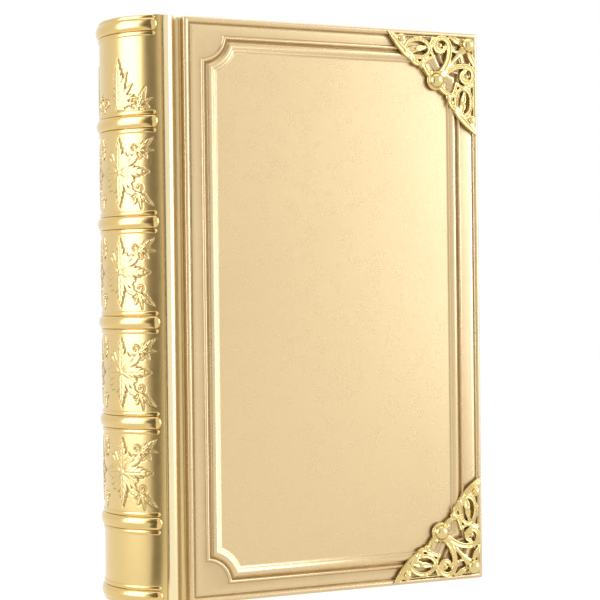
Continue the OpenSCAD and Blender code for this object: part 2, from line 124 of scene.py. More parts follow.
def outwards(section, faces):
    """Faces carried along a section that may run either way round, turned so that they point outwards."""
    area = sum(a[0] * b[1] - a[1] * b[0] for a, b in zip(section, np.roll(section, -1, 0)))
    return [face[::-1] for face in faces] if area < 0 else faces


def mirrored(points, faces):
    """The same shape on the back cover's side."""
    flipped = np.asarray(points, float) * [1, -1, 1]
    return flipped, [tuple(f)[::-1] for f in faces]


def finish_piece(piece, material, slot, body, *nodes):
    """Gives a piece its material, and lets it ride on a body in place of some CAD nodes; slot is not used."""
    if material is not None:
        piece.data.materials.clear()
        piece.data.materials.append(material)
    if nodes:
        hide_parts(*nodes)
    if body:
        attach(piece, body)
    print("%-22s %7d faces" % (piece.name, len(piece.data.polygons)))

# %% [markdown]
# ## Shader arithmetic
# A material's pattern is easier to read as a formula than as a web of nodes.
# The class below wraps one node output. Adding or multiplying two of them adds the Math nodes that do it.
# Any other node comes from one function, which takes the values for its sockets and then its settings.

# %% Helpers for materials
class Signal:
    """One output of a shader node, which can be used in sums."""

    def __init__(self, tree, socket):
        self.tree, self.socket = tree, socket

    def sum(self, operation, *values):
        return node(self.tree, "ShaderNodeMath", values, {"operation": operation})

    def __add__(self, other):
        return self.sum("ADD", self, other)

    def __sub__(self, other):
        return self.sum("SUBTRACT", self, other)

    def __rsub__(self, other):
        return self.sum("SUBTRACT", other, self)

    def __mul__(self, other):
        return self.sum("MULTIPLY", self, other)

    def __truediv__(self, other):
        return self.sum("DIVIDE", self, other)

    def __pow__(self, other):
        return self.sum("POWER", self, other)

    __radd__ = __add__
    __rmul__ = __mul__

    def clamp(self):
        return self.sum("MAXIMUM", self.sum("MINIMUM", self, 1.0), 0.0)


def node(tree, kind, values=(), settings=None, output=0):
    """Adds a node, applies its settings, then sets or links its sockets, by order or by name."""
    made = tree.nodes.new(kind)
    for key, value in (settings or {}).items():
        setattr(made, key, value)
    shown = [s for s in made.inputs if s.enabled]
    pairs = values.items() if isinstance(values, dict) else enumerate(values)
    for key, value in pairs:
        target = shown[key] if isinstance(key, int) else next(s for s in shown if s.name == key)
        if isinstance(value, Signal):
            tree.links.new(value.socket, target)
        elif isinstance(value, tuple) and len(value) == 3 and target.type == "RGBA":
            target.default_value = (*value, 1.0)
        else:
            target.default_value = value
    outputs = [s for s in made.outputs if s.enabled]
    return Signal(tree, outputs[output]) if outputs else None


def mix_colour(tree, share, a, b):
    return node(tree, "ShaderNodeMix", {"Factor": share, "A": a, "B": b}, {"data_type": "RGBA"})


def noise(tree, place, scale, detail, roughness):
    values = {"Vector": place, "Scale": scale, "Detail": detail, "Roughness": roughness}
    return node(tree, "ShaderNodeTexNoise", values)


def stretched(tree, place, factors):
    return node(tree, "ShaderNodeVectorMath", (place, factors), {"operation": "MULTIPLY"})


def attribute(tree, name):
    """A number that the mesh carries at each point."""
    return node(tree, "ShaderNodeAttribute", (), {"attribute_name": name}, output=2)


def bump(tree, depth, height):
    """Raises the surface by a height from 0 to 1, times a depth in metres."""
    return node(tree, "ShaderNodeBump", {"Strength": 1.0, "Distance": depth, "Height": height})


def new_material(name):
    """An empty material, with its tree and the Object coordinates that its patterns read."""
    material = bpy.data.materials.new(name)
    material.use_nodes = True
    tree = material.node_tree
    tree.nodes.clear()
    place = node(tree, "ShaderNodeTexCoord", output=3)
    return material, tree, place


def close_material(material, tree, values):
    """Ends a material in one Principled shader with the given sockets."""
    shader = node(tree, "ShaderNodeBsdfPrincipled", values)
    node(tree, "ShaderNodeOutputMaterial", {"Surface": shader})
    return material


print("a helper for each step of a material")

# %% [markdown]
# ## Gilded leather
# The whole binding is leather covered with gold. Gold leaf over leather is neither mirror nor paint:
# it shines like metal, a thin varnish gives a second white gloss, and the grain of the skin breaks both up.
# So one recipe mixes some metal into a Principled shader, adds a coat, and raises a fine grain with a bump.
# Shade in the hollows is painted brown, standing also for patina there, and each mesh says where the hollows
# are in its recess attribute.

# %% Gilded leather
def gilded(name, bright, deep, metallic, roughness, coat, grain):
    """Gold on leather, bright on the flats and darker in hollows with painted shade and patina; grain is the
    depth of its pores in metres.
    """
    material, tree, place = new_material(name)
    hollow = attribute(tree, "recess")
    cloud = noise(tree, place, 16, 3, 0.6)
    mottle = noise(tree, place, 210, 3, 0.6)
    pores = noise(tree, place, 2100, 2, 0.55)
    # Painted shade and patina in the hollows: it darkens the colour and dulls the gloss
    shade_and_patina = (hollow * (0.75 + mottle * 0.5)).clamp()
    shade = (shade_and_patina * 0.9 + (cloud - 0.5) * 0.24 + (mottle - 0.5) * 0.12).clamp()
    colour = mix_colour(tree, shade, bright, deep)
    gloss = (roughness + (mottle - 0.5) * 0.1 + shade_and_patina * 0.18).clamp()
    return close_material(material, tree, {
        "Base Color": colour, "Metallic": metallic, "Roughness": gloss,
        "Normal": bump(tree, grain, pores + mottle * 0.6),
        "Coat Weight": coat, "Coat Roughness": 0.22, "Coat IOR": 1.75,
    })


SPINE_GILT = gilded("gilt_leather_spine", (0.72, 0.51, 0.18), (0.34, 0.20, 0.05), 0.94, 0.17, 0.35, 0.000005)
PANEL_GILT = gilded("gilt_leather_panels", (0.71, 0.51, 0.19), (0.33, 0.20, 0.055), 0.9, 0.24, 0.4, 0.000008)
# The ridge's gold is paler than the rest: a painted highlight, in place of the bright lamp that the ridge
# would reflect
RIDGE_GILT = gilded("gilt_leather_ridge", (0.88, 0.73, 0.41), (0.42, 0.26, 0.08), 0.9, 0.2, 0.5, 0.000005)
COVER_GILT = gilded("gilt_leather_cover", (0.70, 0.515, 0.25), (0.25, 0.14, 0.04), 0.72, 0.28, 0.52, 0.000012)
GROOVE_GILT = gilded("gilt_leather_groove", (0.80, 0.62, 0.30), (0.36, 0.23, 0.08), 0.8, 0.32, 0.3, 0.00001)
print("gilded leathers:", [m.name for m in (SPINE_GILT, PANEL_GILT, RIDGE_GILT, COVER_GILT, GROOVE_GILT)])

# %% [markdown]
# ## Polished brass
# The corner pieces and nails are cast brass: yellower than the gilding, shiny and smooth.
# Casting leaves a faint unevenness, so the bump is weak. The hollows between the scrolls are painted a little
# darker, as shade.

# %% Brass
def brass(name, roughness):
    """Cast brass, made darker and duller in its hollows by painted shade."""
    material, tree, place = new_material(name)
    cast = noise(tree, place, 420, 3, 0.6)
    # Painted shade: darker, duller brass where the recess attribute marks a hollow
    shade = (attribute(tree, "recess") * (0.7 + cast * 0.6)).clamp()
    colour = mix_colour(tree, shade, (0.73, 0.57, 0.24), (0.42, 0.31, 0.12))
    gloss = (roughness + shade * 0.25).clamp()
    return close_material(material, tree, {
        "Base Color": colour, "Metallic": 1.0, "Roughness": gloss, "Normal": bump(tree, 0.000008, cast),
        "Coat Weight": 0.1, "Coat Roughness": 0.1,
    })


BRASS = brass("polished_brass", 0.23)
NAIL_BRASS = brass("nail_brass", 0.14)
print("brass:", BRASS.name, NAIL_BRASS.name)

# %% [markdown]
# ## Paper, board, linen and silk
# The pages are one solid, so their leaves are drawn by the material: thin dark lines across the thickness,
# which come from noise that is stretched along the leaves. It shows on every edge of the block.
# The other inner materials are plain: millboard, a brown paper lining, hemp cords, and two colours of silk.

# %% Paper and inner materials
def plain(name, pale, dark, scale, factors=(1, 1, 1), roughness=0.85, depth=0.00002):
    """A matt material with a pattern between two colours, stretched by factors."""
    material, tree, place = new_material(name)
    grain = noise(tree, stretched(tree, place, factors), scale, 4, 0.65)
    colour = mix_colour(tree, ((grain - 0.35) * 2.4).clamp(), pale, dark)
    values = {"Base Color": colour, "Roughness": roughness, "Normal": bump(tree, depth, grain)}
    return close_material(material, tree, values)


PAGES = plain("page_edges", (0.80, 0.72, 0.56), (0.48, 0.37, 0.22), 60, (0.6, 70, 0.6), 0.8, 0.00012)
ENDPAPER = plain("endpaper", (0.82, 0.76, 0.63), (0.76, 0.68, 0.53), 240, (1, 1, 1), 0.8, 0.00001)
LINING = plain("spine_lining_paper", (0.42, 0.30, 0.18), (0.30, 0.20, 0.11), 300)
MILLBOARD = plain("millboard", (0.40, 0.33, 0.24), (0.27, 0.21, 0.14), 500)
HEMP = plain("hemp_cord", (0.62, 0.50, 0.32), (0.36, 0.26, 0.14), 900, (1, 1, 3), 0.9, 0.0001)


def silk():
    """Silk thread in two colours, by the turn that the thread attribute counts."""
    material, tree, place = new_material("silk_thread")
    fibre = noise(tree, place, 1800, 2, 0.6)
    colour = mix_colour(tree, attribute(tree, "thread"), (0.48, 0.07, 0.05), (0.83, 0.66, 0.33))
    colour = mix_colour(tree, fibre * 0.35, colour, (0.25, 0.12, 0.05))
    return close_material(material, tree, {
        "Base Color": colour, "Roughness": 0.45, "Normal": bump(tree, 0.00003, fibre), "Sheen Weight": 0.3,
    })


SILK = silk()
for cad_name, material, slot in (
    ("text_block", PAGES, "paper_block"),
    ("front_flyleaf", ENDPAPER, "endpaper"), ("back_flyleaf", ENDPAPER, "endpaper"),
    ("front_pastedown", ENDPAPER, "endpaper"), ("back_pastedown", ENDPAPER, "endpaper"),
    ("spine_lining", LINING, "lining"), ("sewing_cords", HEMP, "cord"),
    ("front_board", MILLBOARD, "board"), ("back_board", MILLBOARD, "board"),
):
    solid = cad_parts[cad_name]
    solid.data.materials.clear()
    solid.data.materials.append(material)
print("inner materials are on the carried-over solids")

# %% [markdown]
# ## Camera, floor and light
# The photograph was taken with a long lens from just above the book's middle, a little to the left of it.
# The camera's place comes from fitting the cover's corners, the shoulder and the spine's silhouette to it.
# A gold object is lit with large soft lights, because it shows whatever surrounds it.
# A tall soft box on the spine's side, a wide one at the front right and one overhead do that.
# A dark card between the first two is seen by glossy rays only. It gives the dark stripe along the spine.
# The surroundings are white for camera and glossy rays, and dimmer for the light that they give.

# %% Camera
YAW, PITCH, ROLL = 0.42605, -0.00357, -0.01153
CAMERA_AT = (-0.28710, -0.64908, 0.12608)
SENSOR, LENS_IN_PIXELS, PICTURE_WIDTH = 36.0, 1628.7, 600
view_dir = Vector((math.sin(YAW) * math.cos(PITCH), math.cos(YAW) * math.cos(PITCH), math.sin(PITCH)))
level = Vector((math.cos(YAW), -math.sin(YAW), 0))
upright = level.cross(view_dir)
right = level * math.cos(ROLL) + upright * math.sin(ROLL)
up = upright * math.cos(ROLL) - level * math.sin(ROLL)
camera = new_object("camera", bpy.data.cameras.new("camera"))
turn = Matrix((right, up, -view_dir)).transposed().to_4x4()
camera.matrix_world = Matrix.Translation(CAMERA_AT) @ turn
camera.data.sensor_width, camera.data.lens = SENSOR, SENSOR * LENS_IN_PIXELS / PICTURE_WIDTH
camera.data.clip_start = 0.01
scene.camera = camera
print("camera at", [round(c, 3) for c in camera.location], "lens %.1f mm" % camera.data.lens)

# %% Lamps and world
def soft_box(name, place, target, width, height, watts, colour=(1, 1, 1)):
    """A rectangular lamp at a place, turned towards a target."""
    light = bpy.data.lights.new(name, "AREA")
    light.shape, light.size, light.size_y = "RECTANGLE", width, height
    light.energy, light.color = watts, colour
    lamp = new_object(name, light)
    lamp.location = place
    lamp.rotation_euler = (Vector(target) - Vector(place)).to_track_quat("-Z", "Y").to_euler()
    lamp.visible_camera = False


def round_the_spine(angle, distance, height):
    """A place at an angle from the spine's centre line towards the front."""
    a = math.radians(angle)
    return (SPINE_X * MM - distance * math.cos(a), -distance * math.sin(a), height)


def seen_rays(tree):
    """1 for rays from the camera and for those that glossy and clear surfaces send, else 0."""
    path = tree.nodes.new("ShaderNodeLightPath")
    seen = Signal(tree, path.outputs["Is Camera Ray"])
    for ray in ("Is Glossy Ray", "Is Transmission Ray"):
        seen = seen.sum("MAXIMUM", seen, Signal(tree, path.outputs[ray]))
    return seen


LAMP_WHITE = (0.92, 0.98, 1.24)
middle, spine_middle = (0, 0, 0.12), (SPINE_X * MM, 0, 0.12)
soft_box("spine_soft_box", round_the_spine(4, 0.9, 0.2), spine_middle, 0.6, 1.3, 7.5, LAMP_WHITE)
soft_box("front_soft_box", (1.2, -0.94, 0.46), middle, 1.0, 1.3, 16, LAMP_WHITE)
soft_box("top_soft_box", (0.1, 0.2, 1.3), middle, 1.2, 1.2, 4)

world = bpy.data.worlds.new("white_room")
world.use_nodes = True
tree = world.node_tree
tree.nodes.clear()
room, white = (
    node(tree, "ShaderNodeBackground", {"Color": (1.0, 1.0, 1.0), "Strength": strength})
    for strength in (0.55, 1.0)
)
both = node(tree, "ShaderNodeMixShader", (seen_rays(tree), room, white))
node(tree, "ShaderNodeOutputWorld", {"Surface": both})
scene.world = world

# %% Floor and dark card
FLOOR_HALF = 3000
floor_material, tree, place = new_material("white_floor")
paint = node(tree, "ShaderNodeBsdfDiffuse", {"Color": (0.92, 0.92, 0.92)})
glow = node(tree, "ShaderNodeEmission", {"Color": (1.0, 1.0, 1.0), "Strength": 1.14})
both = node(tree, "ShaderNodeMixShader", (seen_rays(tree) * 0.8, paint, glow))
node(tree, "ShaderNodeOutputMaterial", {"Surface": both})
corners = [(x * FLOOR_HALF, y * FLOOR_HALF, 0) for x, y in ((-1, -1), (1, -1), (1, 1), (-1, 1))]
floor = make_piece("floor", corners, [(0, 1, 2, 3)])
floor.data.materials.append(floor_material)

card_material, tree, place = new_material("dark_card")
brown = node(tree, "ShaderNodeBsdfDiffuse", {"Color": (0.13, 0.095, 0.05)})
node(tree, "ShaderNodeOutputMaterial", {"Surface": brown})
# Each row of the card: distance from the spine's centre, height, and the angles of its two edges
card_rows = (
    (0.06, 0.001, 38, 53), (0.6, 0.001, 36, 54), (0.6, 0.12, 29, 57), (0.6, 0.4, 31, 50), (0.6, 1.1, 31, 50),
)
corners = [np.array(round_the_spine(angle, far, z)) / MM for far, z, *edges in card_rows for angle in edges]
card = make_piece("dark_card", corners, [(k, k + 1, k + 3, k + 2) for k in (0, 2, 4, 6)])
card.data.materials.append(card_material)
card.visible_camera = card.visible_diffuse = card.visible_shadow = False
scene.view_settings.view_transform = "Standard"
print("floor, world and lamps are set")

# %% [markdown]
# ## Ornament of the spine
# The panels between the raised bands carry leaf ornament, pressed into the leather with engraved tools.
# It could be drawn as a bump, but at the spine's edge its outline and shadow have to be real.
# So each panel is a fine grid on the spine's arc, and a height is worked out at every point of the grid.
# A leaf is one formula: how far along it a point lies, how far to the side, and how wide the leaf is there.
# A leaf may bend, so that those distances are measured round a circle. The highest leaf wins at each point.

# %% One leaf as a height
def leaf_height(x, y, at, heading, length, width, lobes, bend=0.0, rise=0.5):
    """Height of a leaf in millimetres at points x, y, and how far outside its edge they lie."""
    a = math.radians(heading)
    dx, dy = x - at[0], y - at[1]
    side, along = dx * math.cos(a) - dy * math.sin(a), dx * math.sin(a) + dy * math.cos(a)
    if bend:
        r = 1 / bend
        angle = np.arctan2(along * np.sign(r), (r - side) * np.sign(r))
        side, along = r - np.sign(r) * np.hypot(side - r, along), angle * abs(r)
    share = np.clip(along / length, -0.2, 1.2)
    slant = np.abs(side) / length * 0.9
    tooth = np.clip(share - slant, 0, 1) * lobes
    tooth = tooth - np.floor(tooth)
    inside = np.clip(share, 0, 1)
    swell = np.sin(math.pi * inside ** 0.72) ** 0.9 if lobes else np.sqrt(inside * (1 - inside ** 6))
    edge = width / 2 * swell * (0.66 + 0.42 * tooth if lobes > 1 else 1.0)
    beyond = np.maximum(np.maximum(share - 1, -share), 0) * length
    outside = np.hypot(np.maximum(np.abs(side) - edge, 0), beyond)
    across = np.clip(np.abs(side) / np.maximum(edge, 0.05), 0, 1)
    dome = (1 - across ** 2.4) ** 0.55
    if lobes > 1:
        dome = dome * (1 - 0.45 * across * np.exp(-((tooth - 0.02) / 0.16) ** 2))
    vein = 0.38 * np.exp(-(side / 0.24) ** 2) * (1 - inside) ** 0.5
    height = rise * (dome - vein) * np.where(beyond > 0, 0, 1) * np.where(outside > 0, 0, 1)
    return height, outside


def curl_height(x, y, centre, r0, r1, a0, a1, width, rise=0.4):
    """A thin raised line that winds about centre, from radius r0 to r1, with a bud at its end."""
    t = np.linspace(0, 1, 46)
    angle, radius = np.radians(a0 + (a1 - a0) * t), r0 + (r1 - r0) * t
    px, py = centre[0] + radius * np.cos(angle), centre[1] + radius * np.sin(angle)
    wide = width / 2 * (0.55 + 0.45 * np.sin(math.pi * t)) + 0.45 * width * (t > 0.96)
    away = np.hypot(x[..., None] - px, y[..., None] - py)
    best = np.argmin(away - wide, axis=-1)
    away, edge = np.take_along_axis(away, best[..., None], -1)[..., 0], wide[best]
    return rise * np.sqrt(np.clip(1 - (away / edge) ** 2, 0, 1)), np.maximum(away - edge, 0)

# %% Panels of leaves
def rosette(at):
    """Four toothed leaves on a cross, round-ended fingers between each two, and a bud in the middle."""
    parts = []
    for quarter in range(4):
        a = quarter * 90
        reach = 11.4 if quarter == 3 else 14.2
        for turn, length, bend in ((22, 8.2, -0.05), (37, 9.8, -0.025), (53, 9.8, 0.025), (68, 8.2, 0.05)):
            parts.append(("leaf", at, a + turn, length, 2.5, 0, bend, 0.42))
        parts.append(("leaf", at, a, reach, 6.4, 5, 0.0, 0.56))
        for hand in (-1, 1):
            parts.append(("leaf", at, a + hand * 11, reach * 0.62, 2.6, 0, hand * 0.06, 0.46))
    parts.append(("bud", at, 1.5, 0.7))
    return parts


def sprig(at, heading, size):
    """A stem with feathery leaves on both sides and two tendrils at its root."""
    parts = [("leaf", at, heading, size, size * 0.3, 4, 0.0, 0.46)]
    for hand in (-1, 1):
        parts.append(("leaf", at, heading + hand * 24, size * 0.84, size * 0.2, 2, hand * 0.06, 0.4))
        parts.append(("leaf", at, heading + hand * 52, size * 0.58, size * 0.17, 0, hand * 0.12, 0.36))
        lean = math.radians(heading + hand * 104)
        eye = (at[0] + size * 0.24 * math.sin(lean), at[1] + size * 0.24 * math.cos(lean))
        start = 270 - math.degrees(lean)
        parts.append(("curl", eye, size * 0.22, size * 0.07, start, start - hand * 300, 0.7, 0.4))
    return parts


def palmette(at, size):
    """A tall toothed leaf between bent side leaves, standing on two scrolls."""
    parts = [("leaf", at, 0, size, size * 0.4, 7, 0.0, 0.62)]
    for hand in (-1, 1):
        for lean, share, bend in ((13, 0.78, 0.012), (27, 0.62, 0.03), (43, 0.5, 0.05), (62, 0.38, 0.07)):
            parts.append(("leaf", at, hand * lean, size * share, size * 0.17, 4, hand * bend, 0.5))
        eye, start = (at[0] + hand * size * 0.38, at[1] + size * 0.12), 200 if hand < 0 else -20
        parts.append(("curl", eye, size * 0.1, size * 0.03, start, start + hand * 330, 0.9, 0.42))
    parts.append(("bud", at, 1.2, 0.6))
    return parts


def panel_parts(kind, low, high):
    """All the ornament of one panel on the right half of the spine, x from its centre line."""
    quarter = SPINE_R * math.radians(25)
    middle_z = (low + high) / 2
    far = quarter * 1.72
    if kind == "head":
        parts = palmette((quarter, low + 1.2), 20.5)
        parts += sprig((far + 0.6, low + 1.2), 24, 8.6) + sprig((0, low + 1.0), 0, 7.0)
    else:
        parts = rosette((quarter, middle_z))
        for end in (-1, 1):
            z = middle_z + end * ((high - low) / 2 - 7.4)
            parts += sprig((far, z), 90 - end * 38, 8.8)
            parts += sprig((0, z + end * 1.6), 90 - end * 90, 5.4)
    return parts


def ornament(kind, x, z, low, high):
    """Heights of a panel's surface above the plain spine, with a faint groove round every leaf."""
    height, outside = np.zeros_like(x), np.full_like(x, 9.0)
    for form, at, *rest in panel_parts(kind, low, high):
        near = np.abs(x - at[0]) < 20
        if form == "leaf":
            heading, length, width, lobes, bend, rise = rest
            up, out = leaf_height(x[near], z[near], at, heading, length, width, lobes, bend, rise)
        elif form == "curl":
            up, out = curl_height(x[near], z[near], at, *rest)
        else:
            away = np.hypot(x[near] - at[0], z[near] - at[1])
            radius, rise = rest
            up, out = rise * np.sqrt(np.clip(1 - (away / radius) ** 2, 0, 1)), np.maximum(away - radius, 0)
        height[near] = np.maximum(height[near], up)
        outside[near] = np.minimum(outside[near], out)
    height -= 0.1 * np.exp(-((outside - 0.18) / 0.2) ** 2) * (outside > 0)
    return height


def blurred(values, reach):
    """The mean of a grid over a square of 2 * reach + 1 points."""
    width = 2 * reach + 1
    for axis in (0, 1):
        margins = [np.repeat(values.take([end], axis), reach, axis) for end in (0, -1)]
        total = np.cumsum(np.concatenate([margins[0], values, margins[1]], axis), axis)
        head = total.take(range(width - 1, total.shape[axis]), axis)
        nothing = np.zeros_like(total.take([0], axis))
        tail = np.concatenate([nothing, total.take(range(0, total.shape[axis] - width), axis)], axis)
        values = (head - tail) / width
    return values


print("half a rosette panel has", len(panel_parts("rosette", 0, 1)), "leaves, tendrils and buds")

# %% [markdown]
# ## The leather of the spine
# Each panel reaches from the middle of one band to the middle of the next, so its ends hide under the bands.
# It is a closed slab: the carved outer side, a plain inner side, and flat walls all round.
# The grid is fine where there are leaves and coarse where a band covers it.

# %% Panels of the spine
def arc_points(radius, angle, z):
    """Points on the spine's arc; the angle is in degrees from its centre line, positive towards the front."""
    a = np.radians(angle)
    return np.stack([SPINE_X - radius * np.cos(a), -radius * np.sin(a), z], -1)


# Distance between the points of a carved panel, in millimetres
CARVED_STEP = 0.25


def spine_panel(name, z0, z1, kind, low, high):
    """A slab of the spine's leather from height z0 to z1, with ornament between low and high."""
    row_step, column_step = (4.0, 1.0) if kind == "plain" else (CARVED_STEP, CARVED_STEP)
    carved = np.linspace(low, high, int((high - low) / row_step) + 2)
    rows = np.concatenate([np.linspace(z0, low, 4)[:-1], carved, np.linspace(high, z1, 4)[1:]])
    arc_length = 2 * math.radians(SPINE_HALF) * SPINE_R
    columns = np.linspace(-SPINE_HALF, SPINE_HALF, int(arc_length / column_step) + 1)
    angle, z = np.meshgrid(columns, rows)
    if kind == "plain":
        height = recess = np.zeros_like(z)
    else:
        height = ornament(kind, np.abs(np.radians(angle)) * SPINE_R, z, low, high)
        edge = np.minimum(np.minimum(z - low, high - z) / 0.6, (SPINE_HALF - np.abs(angle)) / 1.5)
        height = height * np.clip(edge, 0, 1)
        # Painted shade, standing also for patina: darker where a point lies below the blurred height round it
        # and where leaves crowd
        sunk, crowded = blurred(height, 3) - height, np.clip(blurred(height, 6) - 0.1, 0, 0.4)
        recess = np.clip(sunk * 4.2 + crowded * 0.25, 0, 0.8)
    outer = arc_points(SPINE_R + height, angle, z).reshape(-1, 3)
    n, m = z.shape
    low_rim, high_rim = (arc_points(INNER_R, columns, np.full(m, end)) for end in (z0, z1))
    base, top = n * m, n * m + m
    faces = [face[::-1] for face in grid_faces(n, m)]
    for j in range(m - 1):
        faces.append((base + j, base + j + 1, top + j + 1, top + j))
        faces.append((j, j + 1, base + j + 1, base + j))
        faces.append(((n - 1) * m + j + 1, (n - 1) * m + j, top + j, top + j + 1))
    faces.append([i * m for i in range(n)] + [top, base])
    faces.append([base + m - 1, top + m - 1] + [i * m + m - 1 for i in range(n)][::-1])
    points = np.concatenate([outer, low_rim, high_rim])
    return make_piece(name, points, faces, 50, np.concatenate([recess.ravel(), np.zeros(2 * m)]))


band_room = ROLL_W / 2 + BEAD_W
cuts = [0.0] + BAND_Z + [BOOK_H]
for i in range(6):
    kind = "plain" if i == 0 else "head" if i == 5 else "rosette"
    low = cuts[i] + band_room if i else CAP_Z[0] + band_room
    high = cuts[i + 1] - band_room if i < 5 else CAP_Z[1] - band_room
    panel = spine_panel("spine_panel_%d" % (i + 1), cuts[i], cuts[i + 1], kind, low, high)
    finish_piece(panel, PANEL_GILT, "gilt_spine", "book_block", "spine_leather")

# %% [markdown]
# ## Raised bands
# The bands are the spine's ribs: the cords that the pages are sewn on stand out under the leather.
# Each is a half-round roll with a thin bead on both sides, and its ends round off before the joint.
# They all follow one arc and repeat, so Geometry Nodes sweep a section along it and set it at each height.
# The section's scale falls to nothing at the arc's ends, which rounds them.

# %% Helpers for geometry nodes
def new_tree(name, inputs):
    """A geometry tree with named inputs; returns the tree and a function that gives an input's socket."""
    tree = bpy.data.node_groups.new(name, "GeometryNodeTree")
    tree.interface.new_socket("Geometry", in_out="OUTPUT", socket_type="NodeSocketGeometry")
    for label, kind, value in inputs:
        socket = tree.interface.new_socket(label, in_out="INPUT", socket_type="NodeSocket" + kind)
        if value is not None:
            socket.default_value = value
    entry = tree.nodes.new("NodeGroupInput")
    return tree, lambda label: Signal(tree, entry.outputs[label])


def joined(tree, *parts):
    made = tree.nodes.new("GeometryNodeJoinGeometry")
    for part in parts:
        tree.links.new(part.socket, made.inputs[0])
    return Signal(tree, made.outputs[0])


def close_tree(tree, shape, material):
    """Ends a tree in Realize Instances and Set Material."""
    shape = node(tree, "GeometryNodeRealizeInstances", {"Geometry": shape})
    shape = node(tree, "GeometryNodeSetMaterial", {"Geometry": shape, "Material": material})
    out = tree.nodes.new("NodeGroupOutput")
    tree.links.new(shape.socket, out.inputs[0])


def grown(name, tree, settings):
    """Runs a tree with the given inputs and returns what it makes as a plain mesh object."""
    holder = new_object(name + "_maker", bpy.data.meshes.new(name + "_maker"))
    modifier = holder.modifiers.new("nodes", "NODES")
    modifier.node_group = tree
    for item in tree.interface.items_tree:
        if item.item_type == "SOCKET" and item.in_out == "INPUT" and item.name in settings:
            modifier[item.identifier] = settings[item.name]
    bpy.context.view_layer.update()
    mesh = bpy.data.meshes.new_from_object(holder.evaluated_get(bpy.context.evaluated_depsgraph_get()))
    bpy.data.objects.remove(holder)
    mesh.name = name
    smoothed(mesh, 40)
    return new_object(name, mesh)


def vector(tree, **parts):
    return node(tree, "ShaderNodeCombineXYZ", parts)


def shape_of(tree, helper):
    """The geometry of an object that is given to the tree."""
    return node(tree, "GeometryNodeObjectInfo", {"Object": helper}, output=4)


def spine_arc(tree, steps, radius, half):
    """An arc about the origin that goes an angle to both sides of the spine's centre line."""
    values = {"Resolution": steps, "Radius": radius, "Start Angle": math.pi - half, "Sweep Angle": half * 2}
    return node(tree, "GeometryNodeCurveArc", values, {"mode": "RADIUS"})


def moved(tree, shape, by):
    return node(tree, "GeometryNodeTransform", {"Geometry": shape, "Translation": by})


def set_at(tree, points, shape, **more):
    """A copy of a shape at each point."""
    return node(tree, "GeometryNodeInstanceOnPoints", {"Points": points, "Instance": shape, **more})


def swept_mesh(tree, curve, profile, caps, **more):
    """A skin from a profile curve carried along another curve."""
    values = {"Curve": curve, "Profile Curve": profile, "Fill Caps": caps, **more}
    return node(tree, "GeometryNodeCurveToMesh", values)


def section_curve(name, points):
    """A closed flat curve through points in millimetres, for a tree to sweep."""
    curve = bpy.data.curves.new(name, "CURVE")
    curve.dimensions = "2D"
    spline = curve.splines.new("POLY")
    spline.points.add(len(points) - 1)
    for point, (x, y) in zip(spline.points, points):
        point.co = (x * MM, y * MM, 0, 1)
    spline.use_cyclic_u = True
    made = new_object(name, curve)
    made.hide_render = True
    return made

# %% Bands
def half_round(width, rise, sunk, steps):
    """Section of a roll: a flattened half circle over a foot sunk in the leather. x points outwards."""
    turns = [math.pi * k / steps for k in range(steps + 1)]
    top = [(rise * math.sin(a) ** 0.9, width / 2 * math.cos(a)) for a in turns]
    return top + [(-sunk, -width / 2), (-sunk, width / 2)]


def band_tree():
    """Rolls and beads swept along the spine's arc and set at the heights of the bands and caps."""
    tree, entry = new_tree("raised_bands", [
        ("Spine radius", "Float", SPINE_R * MM),
        ("Half angle", "Float", math.radians(BAND_HALF + 2.2)),
        ("Roll", "Object", None), ("Bead", "Object", None),
        ("Bead below", "Float", 0.00365), ("Bead above", "Float", 0.00365),
        ("Roll end", "Float", 0.0026), ("Bead end", "Float", 0.001),
        ("Bands", "Int", 5), ("First band", "Float", 0.0337),
        ("Pitch", "Float", 0.0408), ("Material", "Material", None),
    ])
    half = entry("Half angle")

    def swept(angle, section, end):
        arc = spine_arc(tree, 150, entry("Spine radius"), angle)
        arc = node(tree, "GeometryNodeSetCurveNormal", {"Curve": arc}, {"mode": "Z_UP"})
        length = node(tree, "GeometryNodeCurveLength", {"Curve": arc})
        along = Signal(tree, tree.nodes.new("GeometryNodeSplineParameter").outputs["Length"])
        from_end = along.sum("MINIMUM", along, length - along)
        share = 1.0 - (from_end / end).clamp()
        scale = ((1.0 - share * share) * 0.9996 + 0.0004) ** 0.5
        return swept_mesh(tree, arc, shape_of(tree, section), True, Scale=scale)

    roll = swept(half, entry("Roll"), entry("Roll end"))
    bead = swept(half - 0.03, entry("Bead"), entry("Bead end"))
    parts = [roll]
    for label, hand in (("Bead below", -1), ("Bead above", 1)):
        parts.append(moved(tree, bead, vector(tree, Z=entry(label) * hand)))
    start, rise = vector(tree, X=SPINE_X * MM, Z=entry("First band")), vector(tree, Z=entry("Pitch"))
    values = {"Count": entry("Bands"), "Start Location": start, "Offset": rise}
    places = node(tree, "GeometryNodeMeshLine", values)
    close_tree(tree, set_at(tree, places, joined(tree, *parts)), entry("Material"))
    return tree


